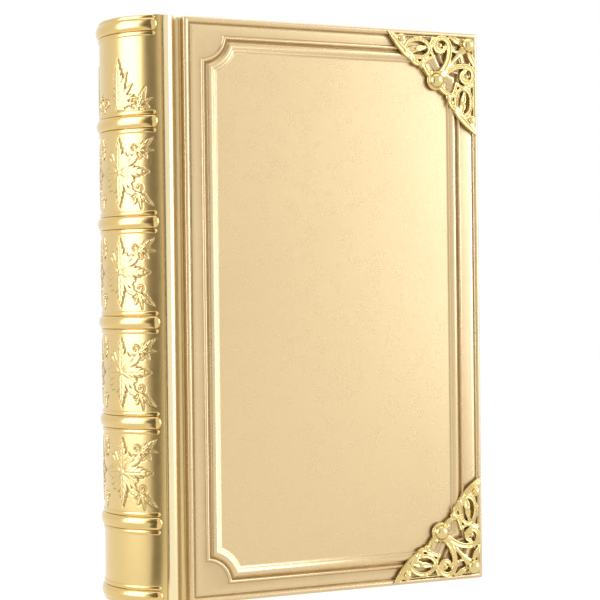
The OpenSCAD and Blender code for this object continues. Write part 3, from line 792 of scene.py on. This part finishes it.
roll = section_curve("roll_section", half_round(ROLL_W, ROLL_RISE, 0.6, 14))
bead = section_curve("bead_section", half_round(BEAD_W, BEAD_RISE, 0.5, 8))
tree = band_tree()
offset = (ROLL_W + BEAD_W) / 2
end_offset = CAP_Z[0] - BEAD_W / 2
for name, count, first, below, above in (
    ("spine_bands", 5, BAND_Z[0], offset, offset),
    ("tail_cap", 1, CAP_Z[0], end_offset, offset),
    ("head_cap", 1, CAP_Z[1], offset, end_offset),
):
    piece = grown(name, tree, {
        "Roll": roll, "Bead": bead, "Bead below": below * MM, "Bead above": above * MM,
        "Bands": count, "First band": first * MM, "Pitch": (BAND_Z[1] - BAND_Z[0]) * MM,
        "Material": SPINE_GILT,
    })
    lo, hi = (np.array(c) * 1000 for c in (piece.bound_box[0], piece.bound_box[6]))
    print(name, "from", lo.round(2), "to", hi.round(2))
    finish_piece(piece, None, "gilt_spine", "book_block", "spine_leather")
for section in (roll, bead):
    bpy.data.objects.remove(section)

# %% [markdown]
# ## Ridges and joints
# Beside the spine the leather stands in a ridge over the pages' shoulder.
# Then it dips into the groove where the cover hinges.
# The ridge belongs to the block of pages, and the leather in the groove bends when a cover opens.
# So each ridge is one swept piece, and each groove is a thin strip, which stays where it is drawn and is tied
# to neither body.
# A second strip, of endpaper, joins the first leaf to the cover on the inside, as a real endpaper does.

# %% Ridges
# Radius that rounds the ends of a ridge, in millimetres
END_ROUND = 0.5


def swept_height(name, section, recess):
    """A closed section in x and y carried up the whole height, its ends drawn in a little to round them."""
    section = np.asarray(section, float)
    centre = section.mean(0)
    size = np.abs(section - centre).max()
    turns = np.linspace(0, math.pi / 2, 4)
    rings = [(END_ROUND * (1 - math.cos(a)), END_ROUND * (1 - math.sin(a))) for a in turns]
    levels = rings + [(BOOK_H * k / 12, 0) for k in range(1, 12)]
    levels += [(BOOK_H - z, inset) for z, inset in rings[::-1]]
    points = [[*(centre + (p - centre) * (1 - inset / size)), z] for z, inset in levels for p in section]
    faces = outwards(section, closed_faces(len(levels), len(section)))
    return make_piece(name, points, faces, 40, np.tile(recess, len(levels)))


def joint_xy(u, v, side):
    """A place in the joint, u from the shoulder and v inwards, on the front (side -1) or the back (1)."""
    return (SHOULDER_X + u, side * (BOOK_T / 2 - v))


def ridge_section(side):
    """Half-round top of the ridge, then down beside the pages."""
    r = RIDGE_W * 0.6
    half = math.asin(RIDGE_W / 2 / r)
    turns = np.linspace(-half, half, 19)
    top = [(RIDGE_W / 2 + r * math.sin(a), r - RIDGE_RISE - r * math.cos(a)) for a in turns]
    return [joint_xy(u, v, side) for u, v in [(0.4, 2.6)] + top + [(RIDGE_W, 5.0), (4.2, 4.9)]]


# Painted shade at both feet of the ridge, in the creases against the spine and the groove
ridge_recess = [0.6, 0.9, 0.7, 0.45, 0.2] + [0] * 12 + [0.1, 0.3, 0.6, 0.3, 0.3]
for side, word in ((-1, "front"), (1, "back")):
    ridge = swept_height(word + "_ridge", ridge_section(side), ridge_recess)
    finish_piece(ridge, RIDGE_GILT, "gilt_spine", "book_block", "spine_leather")

# %% Leather and paper of the joints
def strip_piece(name, middle, thickness, low, high, recess):
    """A thin strip in both joints, along a line of u, v points and from height low to high."""
    middle = np.asarray(middle, float)
    along = np.gradient(middle, axis=0)
    normal = np.stack([-along[:, 1], along[:, 0]], 1) / np.linalg.norm(along, axis=1)[:, None]
    section = np.concatenate([middle - normal * thickness / 2, (middle + normal * thickness / 2)[::-1]])
    n, levels = len(section), np.linspace(low, high, 17)
    values = np.concatenate([recess, recess[::-1]])
    faces = grid_faces(len(levels), n, close=True)
    for k, flip in ((0, True), (len(levels) - 1, False)):
        for j in range(n // 2 - 1):
            cap = (k * n + j, k * n + j + 1, k * n + n - 2 - j, k * n + n - 1 - j)
            faces.append(cap[::-1] if flip else cap)
    built = []
    for side, word in ((-1, "front_"), (1, "back_")):
        xy = np.array([joint_xy(u, v, side) for u, v in section])
        points = [[*p, z] for z in levels for p in xy]
        built.append(make_piece(word + name, points, outwards(xy, faces), 60, np.tile(values, len(levels))))
    return built


groove_r = GROOVE_W * 0.6
start = math.asin(GROOVE_W / 2 / groove_r) * 1.02
middle_u, middle_v = RIDGE_W + GROOVE_W / 2, GROOVE_DEPTH - groove_r + 0.45
turns = np.linspace(-start, start, 21)
line = [(middle_u + groove_r * math.sin(a), middle_v + groove_r * math.cos(a)) for a in turns]
line = [(line[0][0] - 0.1, line[0][1] - 0.5)] + line + [(line[-1][0] + 0.1, line[-1][1] - 0.4)]
depth = np.array([v for u, v in line])
# Painted shade: darker towards the bottom of the groove, and along the creases at both its edges
edge_shade = np.array([0.5] * 3 + [0] * (len(line) - 6) + [0.4] * 3)
recess = np.clip((depth - depth.min()) / 3, 0, 1) * 0.35 + edge_shade
leather = strip_piece("groove", line, 0.8, 0.3, BOOK_H - 0.3, recess)

sloping = [(u, 5.72 - 0.36 * (u - RIDGE_W) / GROOVE_W) for u in np.linspace(RIDGE_W, COVER_U, 22)]
hinge = [(5.1, 5.78), (5.4, 5.74)] + sloping + [(10.0, 5.33), (10.9, 5.33)]
paper = strip_piece("paper_hinge", hinge, 0.14, 3.6, BOOK_H - 3.6, np.zeros(len(hinge)))

# %% Materials of the joint strips
for side, pieces in enumerate(zip(leather, paper)):
    word, sign = (("front", -1), ("back", 1))[side]
    deep = sign * (BOOK_T / 2 - 3) * MM
    bend = [
        ("book_block", ((SHOULDER_X + RIDGE_W) * MM, deep, 0.12)),
        (word + "_cover", ((SHOULDER_X + COVER_U) * MM, deep, 0.12)),
    ]
    if word == "front":
        # A half turn may go round either way. Told from the cover inwards, the front's goes round the open
        # side, as the back's does. The ends are listed here, but no bend is made from them.
        bend.reverse()
    (body_a, start), (body_b, end) = bend
    for piece, material, slot in zip(pieces, (GROOVE_GILT, ENDPAPER), ("gilt_spine", "endpaper")):
        finish_piece(piece, material, slot, None)
        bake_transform(piece)
    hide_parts(word + "_joint")

# %% [markdown]
# ## Covers
# A cover is board wrapped in leather. Its front has a rounded bead along all four edges, a flat margin,
# and a moulded frame whose corners are notched with quarter circles, round a flat field.
# All of that is one skin stretched over nested outlines.
# Each outline is a rectangle at a height, set in by a distance.
# Every outline has the same number of points, so that rows of quads join them, and the corner points turn
# from a mitre into the notch's arc between the margin and the frame.

# %% One outline of a cover
# Points in each corner of an outline
CORNER = 13


def outline(low, high, inset, notch, z, radius=0.9):
    """Points of a rectangle from low to high, set in, its corners notched, or rounded where notch is 0."""
    s = inset
    if notch:
        r = notch + s
        seam = math.asin(min(s / r, 1))
        angles = np.linspace(math.pi / 2 - seam, seam, CORNER)
        corner = [(r * math.cos(a), r * math.sin(a)) for a in angles]
    else:
        rho = max(radius - s, 0.12)
        turns = np.linspace(0, math.pi / 2, 7)
        arc = [(s + rho - rho * math.cos(a), s + rho - rho * math.sin(a)) for a in turns]
        corner = [(s, s + 9), (s, s + 5.5), (s, s + 2.5)] + arc + [(s + 2.5, s), (s + 5.5, s), (s + 9, s)]
    w, h = high[0] - low[0], high[1] - low[1]
    ring = [(x, y) for x, y in corner] + [(w - y, x) for x, y in corner]
    ring += [(w - x, h - y) for x, y in corner] + [(y, h - x) for x, y in corner]
    return [(low[0] + x, low[1] + y, z) for x, y in ring]


def eased(stops, count):
    """Many points on a smooth curve through a few (place, height) stops."""
    stops = np.asarray(stops, float)
    t = np.linspace(0, len(stops) - 1, count)
    k = np.clip(t.astype(int), 0, len(stops) - 2)
    f = (t - k)[:, None]
    slope = np.gradient(stops, axis=0)
    level = stops[k] * (2 * f ** 3 - 3 * f ** 2 + 1) + stops[k + 1] * (3 * f ** 2 - 2 * f ** 3)
    return level + slope[k] * (f ** 3 - 2 * f ** 2 + f) + slope[k + 1] * (f ** 3 - f ** 2)


# %% Covers
# Sections of the mouldings, as distance in from the edge and height
RIM = [
    (0, 0.05), (0.22, 0.5), (0.7, 0.82), (1.2, 0.9), (1.75, 0.72), (2.25, 0.22), (2.5, -0.2), (2.75, -0.32),
    (3.15, 0),
]
FRAME = [
    (0, 0), (0.3, 0.4), (0.75, 0.78), (1.2, 0.74), (1.6, 0.22), (1.95, -0.3), (2.3, -0.12), (2.7, 0.3),
    (3.2, 0.72), (3.7, 1.04), (4.3, 1.1), (4.9, 0.98), (5.4, 0.6), (5.9, 0.42), (6.3, 0.36), (6.6, 0.12),
    (6.9, 0),
]
# Margins of the panel towards the joint, the fore-edge and both ends, and the radius of its notches
JOINT_MARGIN, EDGE_MARGIN, END_MARGIN, NOTCH = 7.4, 8.6, 7.1, 9.8


def cover_skin():
    """Points, faces and the painted shade in the hollows of a cover drawn flat."""
    whole = ((0, 0), (COVER_W, BOOK_H))
    panel = ((JOINT_MARGIN, END_MARGIN), (COVER_W - EDGE_MARGIN, BOOK_H - END_MARGIN))
    rings, hollow = [], []

    def add(box, inset, notch, z, deep):
        rings.append(outline(*box, inset, notch, z))
        hollow.extend([deep] * (4 * CORNER))

    add(whole, 14, 0, 0.0, 0)
    for inset, z in ((0.5, 0.0), (0.15, 0.15), (0, 0.5), (0, 2.5), (0, 4.6)):
        add(whole, inset, 0, z, 0)
    # Painted shade in the V line just inside the rim
    for inset, z in eased(RIM, 25):
        add(whole, inset, 0, COVER_T + z, max(0.0, 0.95 - abs(inset - 2.66) / 0.42) if inset > 2 else 0)
    add(whole, 4.4, 0, COVER_T, 0)
    # Painted shade along the panel's edge and in the grooves of the frame
    add(panel, 0.001, NOTCH, COVER_T, 0.35)
    dips = ((0.0, 0.35, 0.7), (1.97, 0.5, 0.95), (5.75, 0.4, 0.3), (6.75, 0.35, 0.5))
    for inset, z in eased(FRAME, 49):
        deep = max(strength * max(0.0, 1 - abs(inset - at) / reach) for at, reach, strength in dips)
        add(panel, max(inset, 0.002), NOTCH, COVER_T + z, deep)
    add(panel, 7.4, NOTCH, COVER_T, 0)
    return np.array([p for ring in rings for p in ring]), closed_faces(len(rings), 4 * CORNER), hollow


def stand_up(points):
    """Places a cover drawn flat on the front of the book."""
    x, y, z = np.asarray(points, float).T
    return np.stack([SHOULDER_X + COVER_U + x, COVER_T - BOOK_T / 2 - z, y], -1)


flat, faces, hollow = cover_skin()
front = stand_up(flat)
for word, points, sides in (("front", front, faces), ("back", *mirrored(front, faces))):
    cover = make_piece(word + "_cover_leather", points, sides, 42, hollow)
    finish_piece(cover, COVER_GILT, "gilt_cover", word + "_cover", word + "_cover")

# %% [markdown]
# ## Brass corners
# The four corner pieces are openwork, cast in brass: scrolls with a channel along their top, leaves,
# and a long stem that swells into a boss at the corner and into a ball at its inner end.
# A scroll is one section carried along a curve, so a short list of curves describes the whole casting.
# A voxel remesh then joins the scrolls into one skin and rounds the inner edges, as casting does.
# The two arms of a corner are mirror images across its diagonal, and all four corners are the same casting.

# %% Strokes of the casting
def bent(a, b, c, steps=14):
    """Points on a curve from a to c, pulled towards b."""
    t = np.linspace(0, 1, steps)[:, None]
    return (1 - t) ** 2 * np.array(a) + 2 * t * (1 - t) * np.array(b) + t ** 2 * np.array(c)


def wound(centre, r0, r1, a0, a1, steps=40):
    """Points on a spiral about a centre."""
    t = np.linspace(0, 1, steps)
    a, r = np.radians(a0 + (a1 - a0) * t), r0 + (r1 - r0) * t
    return np.array(centre) + np.stack([r * np.cos(a), r * np.sin(a)], 1)


def dome(radius, lift, low, gap, steps):
    """Profile of a ball, from the angle low to a small gap at its top; its centre is at the height lift."""
    turns = np.linspace(low, math.pi / 2 - gap, steps)
    return [(radius * math.cos(a), lift + radius * math.sin(a)) for a in turns]


# Sections of a stroke, as place across it and height, both as shares of the whole
CHANNELLED = [(-0.5, 0), (-0.48, 0.6), (-0.4, 0.93), (-0.3, 1), (-0.2, 0.9), (-0.1, 0.7), (0, 0.62),
              (0.1, 0.7), (0.2, 0.9), (0.3, 1), (0.4, 0.93), (0.48, 0.6), (0.5, 0)]
across = 0.5 * np.sin(np.linspace(-math.pi / 2, math.pi / 2, 13))
ROUND = [(x, max(0.0, 1 - (2 * abs(x)) ** 2.2) ** 0.6) for x in across]
# Channelled strokes are drawn this much wider than the widths in the list of strokes
WIDER = 1.3
# Rows of points along a leaf
LEAF_ROWS = 22


class Casting:
    """Points and faces of overlapping strokes, drawn on the cover from its corner."""

    def __init__(self):
        self.points, self.faces = [], []

    def add(self, points, faces):
        start = len(self.points)
        self.points += [tuple(p) for p in points]
        self.faces += [tuple(i + start for i in f) for f in faces]

    def stroke(self, path, widths, height, section=CHANNELLED, closed=False):
        """A section carried along a path, which may be a loop; the widths are spread evenly along it."""
        path = np.asarray(path, float)
        if closed:
            along = np.roll(path, -1, 0) - np.roll(path, 1, 0)
        else:
            along = np.vstack([path[1:], path[-1:]]) - np.vstack([path[:1], path[:-1]])
        along /= np.linalg.norm(along, axis=1)[:, None]
        t = np.linspace(0, 1, len(path))
        wide = np.interp(t, np.linspace(0, 1, len(widths)), widths) * (WIDER if section is CHANNELLED else 1)
        tall = height * np.clip(wide / max(widths), 0.55, 1)
        points = []
        for p, d, w, h in zip(path, along, wide, tall):
            points += [(p[0] - d[1] * x * w, p[1] + d[0] * x * w, z * h) for x, z in section]
        n, rows = len(section), len(path)
        if closed:
            last = (rows - 1) * n
            joint = [(last + j, last + (j + 1) % n, (j + 1) % n, j) for j in range(n)]
            faces = grid_faces(rows, n, close=True) + joint
        else:
            faces = closed_faces(rows, n)
        self.add(points, faces)

    def turned(self, centre, profile, around=28):
        """A profile of radius and height turned about an upright axis."""
        a = np.linspace(0, 2 * math.pi, around, endpoint=False)
        points = []
        for r, z in profile:
            points += list(zip(centre[0] + r * np.cos(a), centre[1] + r * np.sin(a), [z] * around))
        self.add(points, closed_faces(len(profile), around))

    def pearl(self, centre, r, lift):
        """A ball that stands lift above the cover and is cut off at its foot."""
        self.turned(centre, dome(r, lift, math.asin(max(-1, -lift / r)), 0.08, 14))

    def leaf(self, root, tip, width, height, lobes=3):
        """A fleshy leaf with a vein and scalloped edge."""
        root, tip = np.array(root, float), np.array(tip, float)
        length = np.linalg.norm(tip - root)
        along = (tip - root) / length
        across = np.array([-along[1], along[0]])
        points = []
        for t in np.linspace(0.02, 0.98, LEAF_ROWS):
            scallop = 0.86 + 0.14 * math.cos(2 * math.pi * t * lobes)
            w = width / 2 * math.sin(math.pi * t ** 0.7) ** 0.8 * scallop + 0.3
            for x, z in CHANNELLED:
                p = root + along * length * t + across * x * 2 * w
                points.append((p[0], p[1], z * height * (0.45 + 0.55 * math.sin(math.pi * t ** 0.8))))
        self.add(points, closed_faces(LEAF_ROWS, len(CHANNELLED)))

    def across_diagonal(self):
        """The same strokes with x and y swapped."""
        start = len(self.points)
        self.faces += [tuple(i + start for i in f)[::-1] for f in self.faces]
        self.points += [(y, x, z) for x, y, z in self.points]

# %% The casting
# Height of a scroll above the cover, in millimetres
SCROLL_T = 1.5


def corner_casting():
    """All strokes of one corner, in millimetres from the corner of the cover."""
    brass = Casting()
    ring, oval = (19, 6.6), (30.5, 8.0)
    turns = wound(ring, 4.2, 1.7, 180, 560)
    side = bent((20.4, 19.4), (14.3, 13.5), turns[0], 18)
    brass.stroke(np.vstack([side, turns[1:]]), [2.3, 2.1, 1.9, 1.6, 1.2], SCROLL_T)
    brass.pearl((19.4, 6.2), 1.15, 0.5)
    brass.leaf((18.4, 9.4), (21.0, 4.6), 1.5, 0.9, 1)
    around = np.linspace(0, 2 * math.pi, 40, endpoint=False)
    loop = [(oval[0] + 5.9 * math.cos(a), oval[1] + 3.9 * math.sin(a)) for a in around]
    brass.stroke(loop, [1.5, 1.5], SCROLL_T, closed=True)
    brass.leaf((36.6, 9.2), (25.0, 7.0), 3.0, 1.15, 3)
    brass.pearl((31.2, 8.2), 0.85, 0.7)
    brass.stroke(bent((22.6, 2.6), (25.8, 7.4), (22.4, 11.6)), [1.0, 1.3, 1.0], SCROLL_T * 0.9)
    brass.stroke(bent((22.0, 11.2), (25.5, 12.2), (28.2, 13.8)), [1.4, 1.3, 1.3], SCROLL_T * 0.9)
    brass.stroke(bent((23.2, 20.2), (26.6, 18.8), (27.8, 13.6)), [1.5, 1.7, 1.4], SCROLL_T)
    brass.pearl((24.0, 18.0), 1.0, 0.6)
    brass.pearl((28.6, 15.6), 1.1, 0.6)
    brass.stroke(bent((27.6, 13.2), (31.2, 16.8), (34.4, 11.4)), [1.3, 1.6, 1.3], SCROLL_T)
    brass.pearl((31.0, 13.6), 0.9, 0.5)
    brass.pearl((34.4, 12.2), 1.0, 0.6)
    brass.stroke(bent((33.2, 12.6), (38.6, 9.0), (44.6, 0.9), 20), [1.7, 2.3, 2.0, 0.7], SCROLL_T)
    brass.stroke(bent((36.4, 6.8), (38.4, 4.6), (43.4, 1.2), 14), [0.6, 1.3, 0.6], SCROLL_T * 0.8)
    brass.leaf((36.4, 9.6), (37.2, 3.0), 1.9, 1.1, 2)
    bar = [(2.9 + (42.5 - 2.9) * t, 2.95 - 0.4 * t) for t in np.linspace(0, 1, 24)]
    brass.stroke(bar, [0.9, 0.8, 0.6], SCROLL_T * 0.5, ROUND)
    brass.leaf((8.8, 5.2), (15.0, 1.9), 2.6, 1.35, 2)
    brass.stroke(bent((10.4, 8.6), (13.6, 9.0), (14.9, 6.0)), [0.8, 1.1, 0.7], SCROLL_T * 0.8)
    brass.turned((45 - 6.7, 4.0), [(0.6, 0.0), (2.1, 0.0), (2.15, 0.7), (2.0, 0.95), (1.7, 1.0), (0.2, 1.0)])
    brass.across_diagonal()
    stem = [(5.6 + (21.6 - 5.6) * t,) * 2 for t in np.linspace(0, 1, 40)]
    brass.stroke(stem, [5.2, 4.6, 3.4, 2.5, 2.2, 2.4, 3.0, 4.4, 5.6, 6.0], SCROLL_T * 1.55, ROUND)
    brass.turned((5.6, 5.6), dome(3.1, 0.93, -0.3, 0.05, 18), 40)
    brass.turned((21.6, 21.6), dome(3.4, 0.76, -0.25, 0.05, 20), 44)
    brass.turned((21.6, 21.6), [(4.2, 0.0), (4.3, 0.5), (4.1, 0.9), (3.6, 1.1), (0.5, 1.1)], 44)
    return brass


def fused(name, points, faces, voxel):
    """One closed skin round all strokes."""
    mesh = bpy.data.meshes.new(name)
    mesh.from_pydata([tuple(p) for p in points], [], faces)
    raw = new_object(name, mesh)
    remesh = raw.modifiers.new("fuse", "REMESH")
    remesh.mode, remesh.voxel_size, remesh.adaptivity = "VOXEL", voxel, 0.0
    smooth = raw.modifiers.new("soften", "SMOOTH")
    smooth.factor, smooth.iterations = 0.5, 3
    whole = bpy.data.meshes.new_from_object(raw.evaluated_get(bpy.context.evaluated_depsgraph_get()))
    xyz = np.empty(len(whole.vertices) * 3)
    whole.vertices.foreach_get("co", xyz)
    sides = [tuple(p.vertices) for p in whole.polygons]
    bpy.data.objects.remove(raw)
    bpy.data.meshes.remove(mesh)
    bpy.data.meshes.remove(whole)
    return xyz.reshape(-1, 3), sides


casting = corner_casting()
skin, sides = fused("casting", casting.points, casting.faces, 0.24)
skin[:, 2] = np.clip(skin[:, 2], 0.02, None)
# Painted shade: the casting is darker the nearer it lies to the cover
hollow = np.clip(0.65 - skin[:, 2] / 1.3, 0, 1)
print("one corner:", len(casting.points), "stroke points, fused into", len(sides), "faces")
for end in ("top", "bottom"):
    up = skin[:, 1] if end == "bottom" else BOOK_H - skin[:, 1]
    front = stand_up(np.stack([COVER_W - skin[:, 0], up, PLATE_Z + skin[:, 2]], -1))
    turned_over = sides if end == "top" else [f[::-1] for f in sides]
    for word, points, faces in (("front", front, turned_over), ("back", *mirrored(front, turned_over))):
        corner = make_piece("%s_%s_brass" % (word, end), points, faces, 80, hollow)
        finish_piece(corner, BRASS, "brass_corner", word + "_cover", "%s_%s_corner" % (word, end))

# %% [markdown]
# ## Nails
# Eight brass nails with round heads hold the corners down, two to each.
# They are all the same, so one lathe-turned nail is drawn by Geometry Nodes at each of a list of places.

# %% Nails
def nail_tree():
    """A nail at each point of the places given."""
    tree, entry = new_tree("nails", [
        ("Nail", "Object", None), ("Places", "Object", None),
        ("Size", "Float", 1.0), ("Material", "Material", None),
    ])
    nail, places = (shape_of(tree, entry(label)) for label in ("Nail", "Places"))
    close_tree(tree, set_at(tree, places, nail, Scale=entry("Size")), entry("Material"))
    return tree


NAIL_PROFILE = [
    (0.5, -4.4), (0.5, 0.1), (1.55, 0.1), (1.6, 0.25), (1.52, 0.55), (1.28, 0.9), (0.92, 1.1), (0.5, 1.2),
    (0.12, 1.22),
]
NAIL_SPOTS = ((38.3, 4.0), (4.0, 38.3))
lathe = Casting()
lathe.turned((0, 0), NAIL_PROFILE, 24)
tree = nail_tree()
for side, word in ((-1, "front"), (1, "back")):
    upright = np.array(lathe.points)
    standing = np.stack([upright[:, 0], side * upright[:, 2], upright[:, 1] * -side], -1)
    nail = make_piece(word + "_nail", standing, lathe.faces)
    spots = [(COVER_W - x, y, PLATE_Z + 1.0) for x, y in NAIL_SPOTS]
    spots += [(x, BOOK_H - y, z) for x, y, z in spots]
    places = make_piece(word + "_nail_places", stand_up(spots) * [1, -side, 1], [])
    heads = grown(word + "_cover_nails", tree, {"Nail": nail, "Places": places, "Material": NAIL_BRASS})
    for helper in (nail, places):
        bpy.data.objects.remove(helper)
    finish_piece(heads, None, "brass_nail", word + "_cover", word + "_nails")

# %% [markdown]
# ## Headbands
# A headband is silk wound in two colours round a cord, and it sits on the pages at each end of the spine.
# Each turn of the thread is a thin ring round the cord. Geometry Nodes sets them one by one along the arc
# and counts them, so that the material can change the colour after every second turn.

# %% Headbands
def ring_curve(tree, steps, radius):
    """A circle with a given number of points."""
    values = {"Resolution": steps, "Radius": radius}
    return node(tree, "GeometryNodeCurvePrimitiveCircle", values, {"mode": "RADIUS"})


def headband_tree():
    """A cord along an arc with rings of thread round it."""
    tree, entry = new_tree("headband", [
        ("Arc radius", "Float", 0.0251), ("Half angle", "Float", 0.94),
        ("Cord radius", "Float", 0.00128), ("Thread radius", "Float", 0.0002),
        ("Turns", "Int", 130), ("Height", "Float", 0.236),
        ("Material", "Material", None),
    ])
    arc = spine_arc(tree, 120, entry("Arc radius"), entry("Half angle"))
    arc = moved(tree, arc, vector(tree, X=SPINE_X * MM, Z=entry("Height")))
    cord = swept_mesh(tree, arc, ring_curve(tree, 14, entry("Cord radius")), True)
    loop = ring_curve(tree, 20, entry("Cord radius"))
    ring = swept_mesh(tree, loop, ring_curve(tree, 6, entry("Thread radius")), False)
    values = {"Curve": arc, "Count": entry("Turns")}
    spots = node(tree, "GeometryNodeCurveToPoints", values, {"mode": "COUNT"})
    turn = Signal(tree, spots.socket.node.outputs["Rotation"])
    rings = set_at(tree, spots, ring, Rotation=turn)
    count = node(tree, "GeometryNodeInputIndex")
    colour = count.sum("MODULO", count.sum("FLOOR", count / 2.0), 2.0)
    on_rings = {"data_type": "FLOAT", "domain": "INSTANCE"}
    values = {"Geometry": rings, "Name": "thread", "Value": colour}
    rings = node(tree, "GeometryNodeStoreNamedAttribute", values, on_rings)
    close_tree(tree, joined(tree, cord, rings), entry("Material"))
    return tree


tree = headband_tree()
# The pages end 3.5 mm inside the covers, and the middle of the silk lies a little beyond them
pages_end, band_mid = 3.5, 1.5 * 0.7
for name, height in (("headband", BOOK_H - pages_end + band_mid), ("tailband", pages_end - band_mid)):
    piece = grown(name + "_silk", tree, {
        "Arc radius": (INNER_R - 1.7) * MM, "Half angle": math.radians(54.0),
        "Height": height * MM, "Material": SILK,
    })
    finish_piece(piece, None, "silk", "book_block", name)
